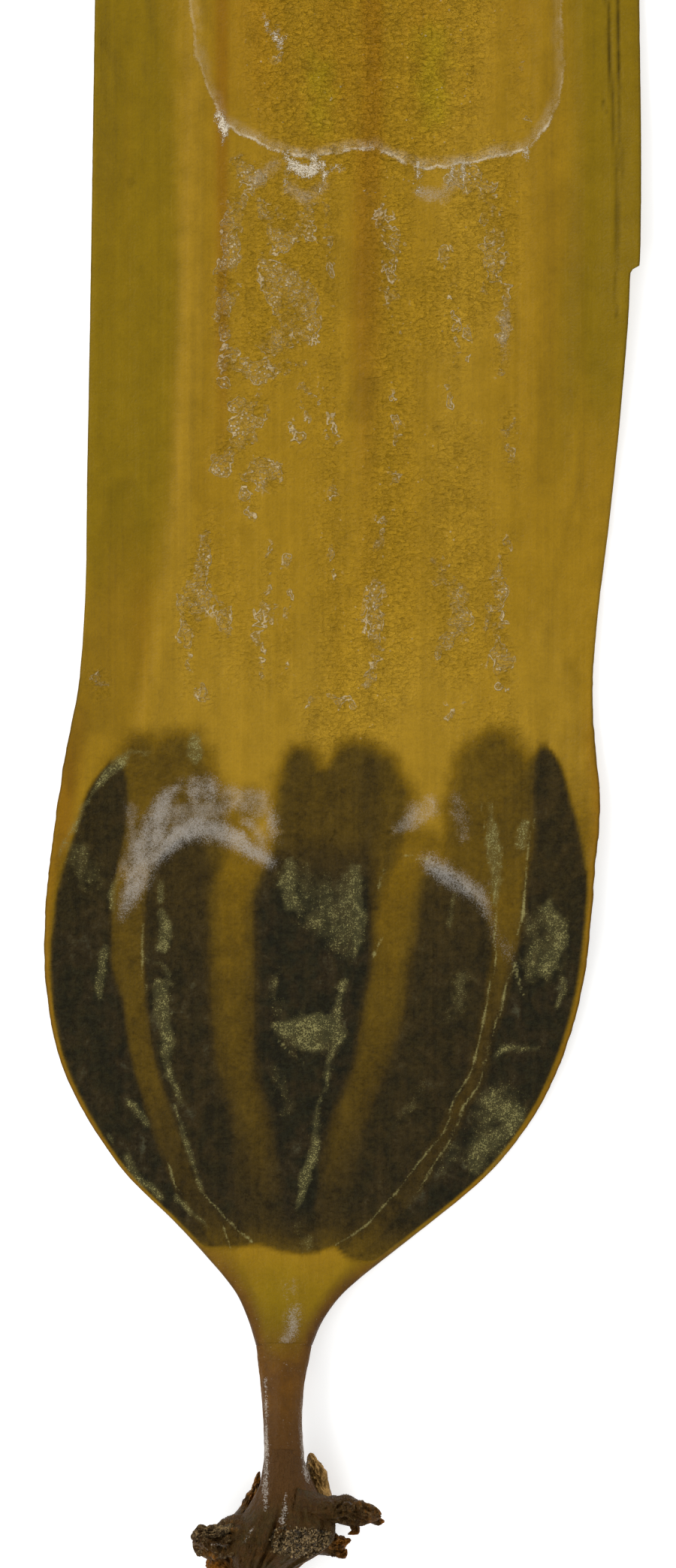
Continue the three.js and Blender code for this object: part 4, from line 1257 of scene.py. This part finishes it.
def disc_rings():
    """The disc as rings down the holdfast: ovals between its edges in plan and the CAD solid's
    lowest and highest points, creased lengthwise and lumpy towards the rim by layered noise."""
    found = rows_of("holdfast")
    t = np.linspace(0, 1, DISC_RINGS)[:, None]
    y = DISC_EDGES[-1][0] + 0.2 + (DISC_EDGES[0][0] + 0.6 - DISC_EDGES[-1][0]) * t
    angle = np.linspace(0, 2 * math.pi, DISC_SIDES, endpoint=False)[None, :]
    left, right = edges(DISC_EDGES, y)
    low, high = (along(zip(found["y"], found[key]), y) for key in ("z_low", "z_high"))
    rim = 1 - smooth((y + 40) / 16)
    foot = 1 - smooth((y - DISC_EDGES[-1][0]) / 4)
    across, up = np.cos(angle), np.sin(angle)
    turn = 3 + across * 2.2
    crease = (0.14 * noise(turn * 2.4, up * 2 + y / 16, 31, 3)
              + 0.08 * noise(turn * 7, up * 3 + y / 9, 32, 2))
    lump = 0.10 * noise(turn * 3, up * 4 + y / 2.4, 33, 3)
    grow = 1 + crease * (0.15 + 0.85 * rim) * (1 - 0.6 * foot) + lump * rim ** 2
    side = np.minimum(grow, 1.03)
    x = (left + right) / 2 + (right - left) / 2 * across * (side * np.abs(across) + 1 - np.abs(across))
    z = (low + high) / 2 + (high - low) / 2 * np.minimum(grow - 0.06 * rim, 0.985) * up
    ragged = np.abs(1.4 * noise(turn * 2.6, up * 2.6, 34, 3)) * foot
    return np.stack(np.broadcast_arrays(x, y + ragged, z), axis=-1), y, foot, rim, across, up


class KELP_OT_holdfast(bpy.types.Operator):
    """Makes the flared disc of the holdfast, creased from its neck to a ragged rim"""
    bl_idname = "kelp.holdfast"
    bl_label = "Holdfast"

    def execute(self, context):
        colours = context.scene.kelp_colours
        rings, y, foot, rim, across, up = disc_rings()
        points, faces = closed_tube(rings)
        edge = smooth((np.abs(across) - 0.80) / 0.2) * rim
        fields = {
            "thin": 0.45 * foot + 0.5 * edge * (1 - foot),
            "crusty": 0.9 * stroke(rings[..., 0], rings[..., 1],
                                   [(-1.0, -37.5, 1.6), (3.0, -36.6, 2.8), (7.5, -36.0, 1.9)], 2.4),
            "neck": smooth((y + 34) / 9) + 0 * up,
            "dust": strokes(rings[..., 0], rings[..., 1], DUST, 1.0) * (up > 0),
        }
        values = {name: ring_fields(field) for name, field in fields.items()}
        material = holdfast_material("holdfast_tissue", colours)
        make_piece("holdfast_disc", points, faces, material, values, ("holdfast",),
                   2 * DISC_SIDES)
        return {"FINISHED"}


class KELP_OT_grit(bpy.types.Operator):
    """Makes the sand and shell grains stuck to the top of the disc"""
    bl_idname = "kelp.grit"
    bl_label = "Grit"

    def execute(self, context):
        random = np.random.default_rng(5)
        # Each grain is an icosahedron of unit radius, its sides shorter than 1.2, pulled out of shape.
        tall = (1 + math.sqrt(5)) / 2
        corners = np.array([(0, s, t * tall) for s in (-1, 1) for t in (-1, 1)])
        corners = np.concatenate([np.roll(corners, shift, axis=1) for shift in (0, -1, 1)])
        corners = corners / np.linalg.norm(corners[0])
        apart = np.linalg.norm(corners[:, None] - corners[None], axis=2)
        near = [(i, j, k) for i, j, k in itertools.combinations(range(12), 3)
                if max(apart[i, j], apart[j, k], apart[i, k]) < 1.2]
        outward = [(i, j, k) if np.linalg.det(corners[[i, j, k]]) > 0 else (i, k, j) for i, j, k in near]
        count = GRIT_GRAINS
        reach = np.sqrt(random.uniform(0, 1, count))
        turn = random.uniform(0, 2 * math.pi, count)
        x = GRIT_CENTRE[0] + GRIT_SPREAD[0] * reach * np.cos(turn)
        y = GRIT_CENTRE[1] + GRIT_SPREAD[1] * reach * np.sin(turn) + 0.5 * noise(x / 2, x * 0, 51)
        rings = disc_rings()[0]
        upper = rings[:, 4:DISC_SIDES // 2 - 4].reshape(-1, 3)
        gap = (upper[None, :, 0] - x[:, None]) ** 2 + (upper[None, :, 1] - y[:, None]) ** 2
        ground = upper[np.argmin(gap, axis=1), 2]
        radius = 0.09 + 0.24 * random.uniform(0, 1, count) ** 2
        shape = random.uniform(0.6, 1.25, (count, 1, 3)) * radius[:, None, None]
        wobble = random.uniform(0.8, 1.15, (count, 12, 1))
        centre = np.stack([x, y, ground + 0.35 * radius], axis=-1)
        points = (centre[:, None, :] + corners[None] * shape * wobble).reshape(-1, 3)
        faces = (np.array(outward)[None] + 12 * np.arange(count)[:, None, None]).reshape(-1, 3)
        material = grit_material("grit_grains", context.scene.kelp_colours)
        make_piece("holdfast_grit", points, faces.tolist(), material)
        return {"FINISHED"}


def fork_rings(path, thickness, depth, ragged, seed):
    """A flattened finger along a smooth path: an oval whose half thickness and half depth run
    through the given sizes, torn at its end and edges by layered noise."""
    steps = np.linspace(0, 1, len(path))
    t = np.linspace(0, 1, FORK_RINGS)
    centre = np.stack([along([(s, p[i]) for s, p in zip(steps, path)], t) for i in range(3)], axis=-1)
    tangent = np.gradient(centre, axis=0)
    tangent /= np.linalg.norm(tangent, axis=1, keepdims=True)
    sideways = np.cross(tangent, [0.0, 0.0, 1.0])
    sideways /= np.linalg.norm(sideways, axis=1, keepdims=True)
    angle = np.linspace(0, 2 * math.pi, FORK_SIDES, endpoint=False)[None, :]
    t = t[:, None]
    across, up = np.cos(angle), np.sin(angle)
    rounded = np.sqrt(np.clip(1 - t ** 9, 0.02, 1))
    thick = along(list(zip(steps, thickness)), t) * rounded
    deep = along(list(zip(steps, depth)), t) * rounded
    tear = (0.50 * noise(across * 2.2 + seed, up * 2.2 + t * 6, seed, 3)
            + 0.40 * noise(across * 5 + 9, up * 5 + t * 18, seed + 1, 3))
    tear = 1 + ragged * (tear - 0.12) * smooth(t * 2.2 - 0.3)
    twist = 0.4 * noise(t * 2.4, t * 0, seed + 2, 2)
    sideway = across * np.cos(twist) - up * np.sin(twist)
    upward = across * np.sin(twist) + up * np.cos(twist)
    rings = centre[:, None, :] + sideways[:, None, :] * (sideway * thick * tear)[..., None]
    rings = rings + np.array([0.0, 0.0, 1.0]) * (upward * deep * tear)[..., None]
    shove = 1.6 * ragged * noise(across * 2.4 + seed, up * 2.4, seed + 3, 3) * t ** 3
    return rings + tangent[:, None, :] * np.minimum(shove, 0.2)[..., None], t + 0 * angle


class KELP_OT_forks(bpy.types.Operator):
    """Makes the holdfast's torn lobes and flaps, each of one or more ragged fingers"""
    bl_idname = "kelp.forks"
    bl_label = "Holdfast forks"

    def execute(self, context):
        colours = context.scene.kelp_colours
        material = holdfast_material("holdfast_fork_tissue", colours)
        pale = holdfast_material("holdfast_pale_flap", colours, pale=True)
        for number, (name, fingers) in enumerate(FORKS.items()):
            points, faces, fields = np.empty((0, 3)), [], {}
            for finger, (path, thickness, depth, ragged, crusty) in enumerate(fingers):
                rings, t = fork_rings(path, thickness, depth, ragged, 60 + 7 * number + 3 * finger)
                more_points, more_faces = closed_tube(rings)
                flap = "flap" in name or "lower" in name or finger > 0
                more = {
                    "thin": 0.7 + 0.3 * t if name == PALE_FORK else t * (1.0 if flap else 0.5),
                    "crusty": crusty * smooth(t * 1.6 - 0.1 + 0.6 * (finger > 0)),
                    "neck": 0 * t,
                    "dust": strokes(rings[..., 0], rings[..., 1], DUST, 1.0),
                }
                faces += [[corner + len(points) for corner in face] for face in more_faces]
                points = np.concatenate([points, more_points])
                for key, field in more.items():
                    values = ring_fields(field)
                    fields[key] = np.concatenate([fields.get(key, []), values])
            finish = pale if name == PALE_FORK else material
            make_piece(name + "_torn", points, faces, finish, fields, (name,))
        return {"FINISHED"}


class KELP_OT_stage(bpy.types.Operator):
    """Makes the floor, the soft lights and the camera that looks straight down on the frond"""
    bl_idname = "kelp.stage"
    bl_label = "Stage"

    def execute(self, context):
        scene = context.scene
        sizes, colours = scene.kelp_sizes, scene.kelp_colours
        mesh = bpy.data.meshes.new("floor")
        mesh.from_pydata([(x * FLOOR_HALF, y * FLOOR_HALF, FLOOR_HEIGHT)
                          for x, y in ((-1, -1), (1, -1), (1, 1), (-1, 1))], [], [(0, 1, 2, 3)])
        mesh.materials.append(floor_material("pale_floor", colours))
        floor = bpy.data.objects.new("floor", mesh)
        scene.collection.objects.link(floor)

        world = bpy.data.worlds.new("soft_room")
        world.use_nodes = True
        sky = world.node_tree.nodes["Background"].inputs
        sky["Color"].default_value = WHITE
        sky["Strength"].default_value = SKY_STRENGTH
        scene.world = world
        for name, place, size, watts in LIGHTS:
            light = bpy.data.lights.new(name, "AREA")
            light.energy = watts
            light.size = size
            lamp = bpy.data.objects.new(name, light)
            scene.collection.objects.link(lamp)
            lamp.location = place
            aim = -np.array(place)
            lamp.rotation_euler = (math.acos(-aim[2] / np.linalg.norm(aim)), 0.0,
                                   math.atan2(aim[1], aim[0]) - math.pi / 2)

        camera = bpy.data.cameras.new("camera")
        camera.lens = sizes.lens
        distance = sizes.seen_length * camera.lens / camera.sensor_width
        camera.clip_end = CLIP_END
        eye = bpy.data.objects.new("camera", camera)
        scene.collection.objects.link(eye)
        eye.location = (PLAN_ORIGIN[0] * MM + sizes.seen_centre_x,
                        PLAN_ORIGIN[1] * MM + sizes.seen_centre_y, distance)
        scene.camera = eye
        scene.view_settings.view_transform = "Standard"
        scene.view_settings.look = "None"
        return {"FINISHED"}


class VIEW3D_PT_kelp(bpy.types.Panel):
    """Lists the frond's pieces"""
    bl_idname = "VIEW3D_PT_kelp"
    bl_label = "Kelp Frond"
    bl_space_type = "VIEW_3D"
    bl_region_type = "UI"
    bl_category = "Kelp Frond"

    def draw(self, context):
        for operator in OPERATORS:
            self.layout.operator(operator.bl_idname)
        for group in (context.scene.kelp_sizes, context.scene.kelp_colours):
            for name in group.bl_rna.properties.keys():
                if name not in {"rna_type", "name"}:
                    self.layout.prop(group, name)


OPERATORS = (KELP_OT_stage, KELP_OT_blade, KELP_OT_stipe, KELP_OT_holdfast, KELP_OT_grit,
             KELP_OT_forks)
CLASSES = (KelpSizes, KelpColours, *OPERATORS, VIEW3D_PT_kelp)


def register():
    for part in CLASSES:
        bpy.utils.register_class(part)
    bpy.types.Scene.kelp_sizes = bpy.props.PointerProperty(type=KelpSizes)
    bpy.types.Scene.kelp_colours = bpy.props.PointerProperty(type=KelpColours)


def unregister():
    del bpy.types.Scene.kelp_sizes
    del bpy.types.Scene.kelp_colours
    for part in reversed(CLASSES):
        bpy.utils.unregister_class(part)


def main():
    register()
    for operator in OPERATORS:
        group, name = operator.bl_idname.split(".")
        getattr(getattr(bpy.ops, group), name)()


if __name__ == "__main__":
    main()
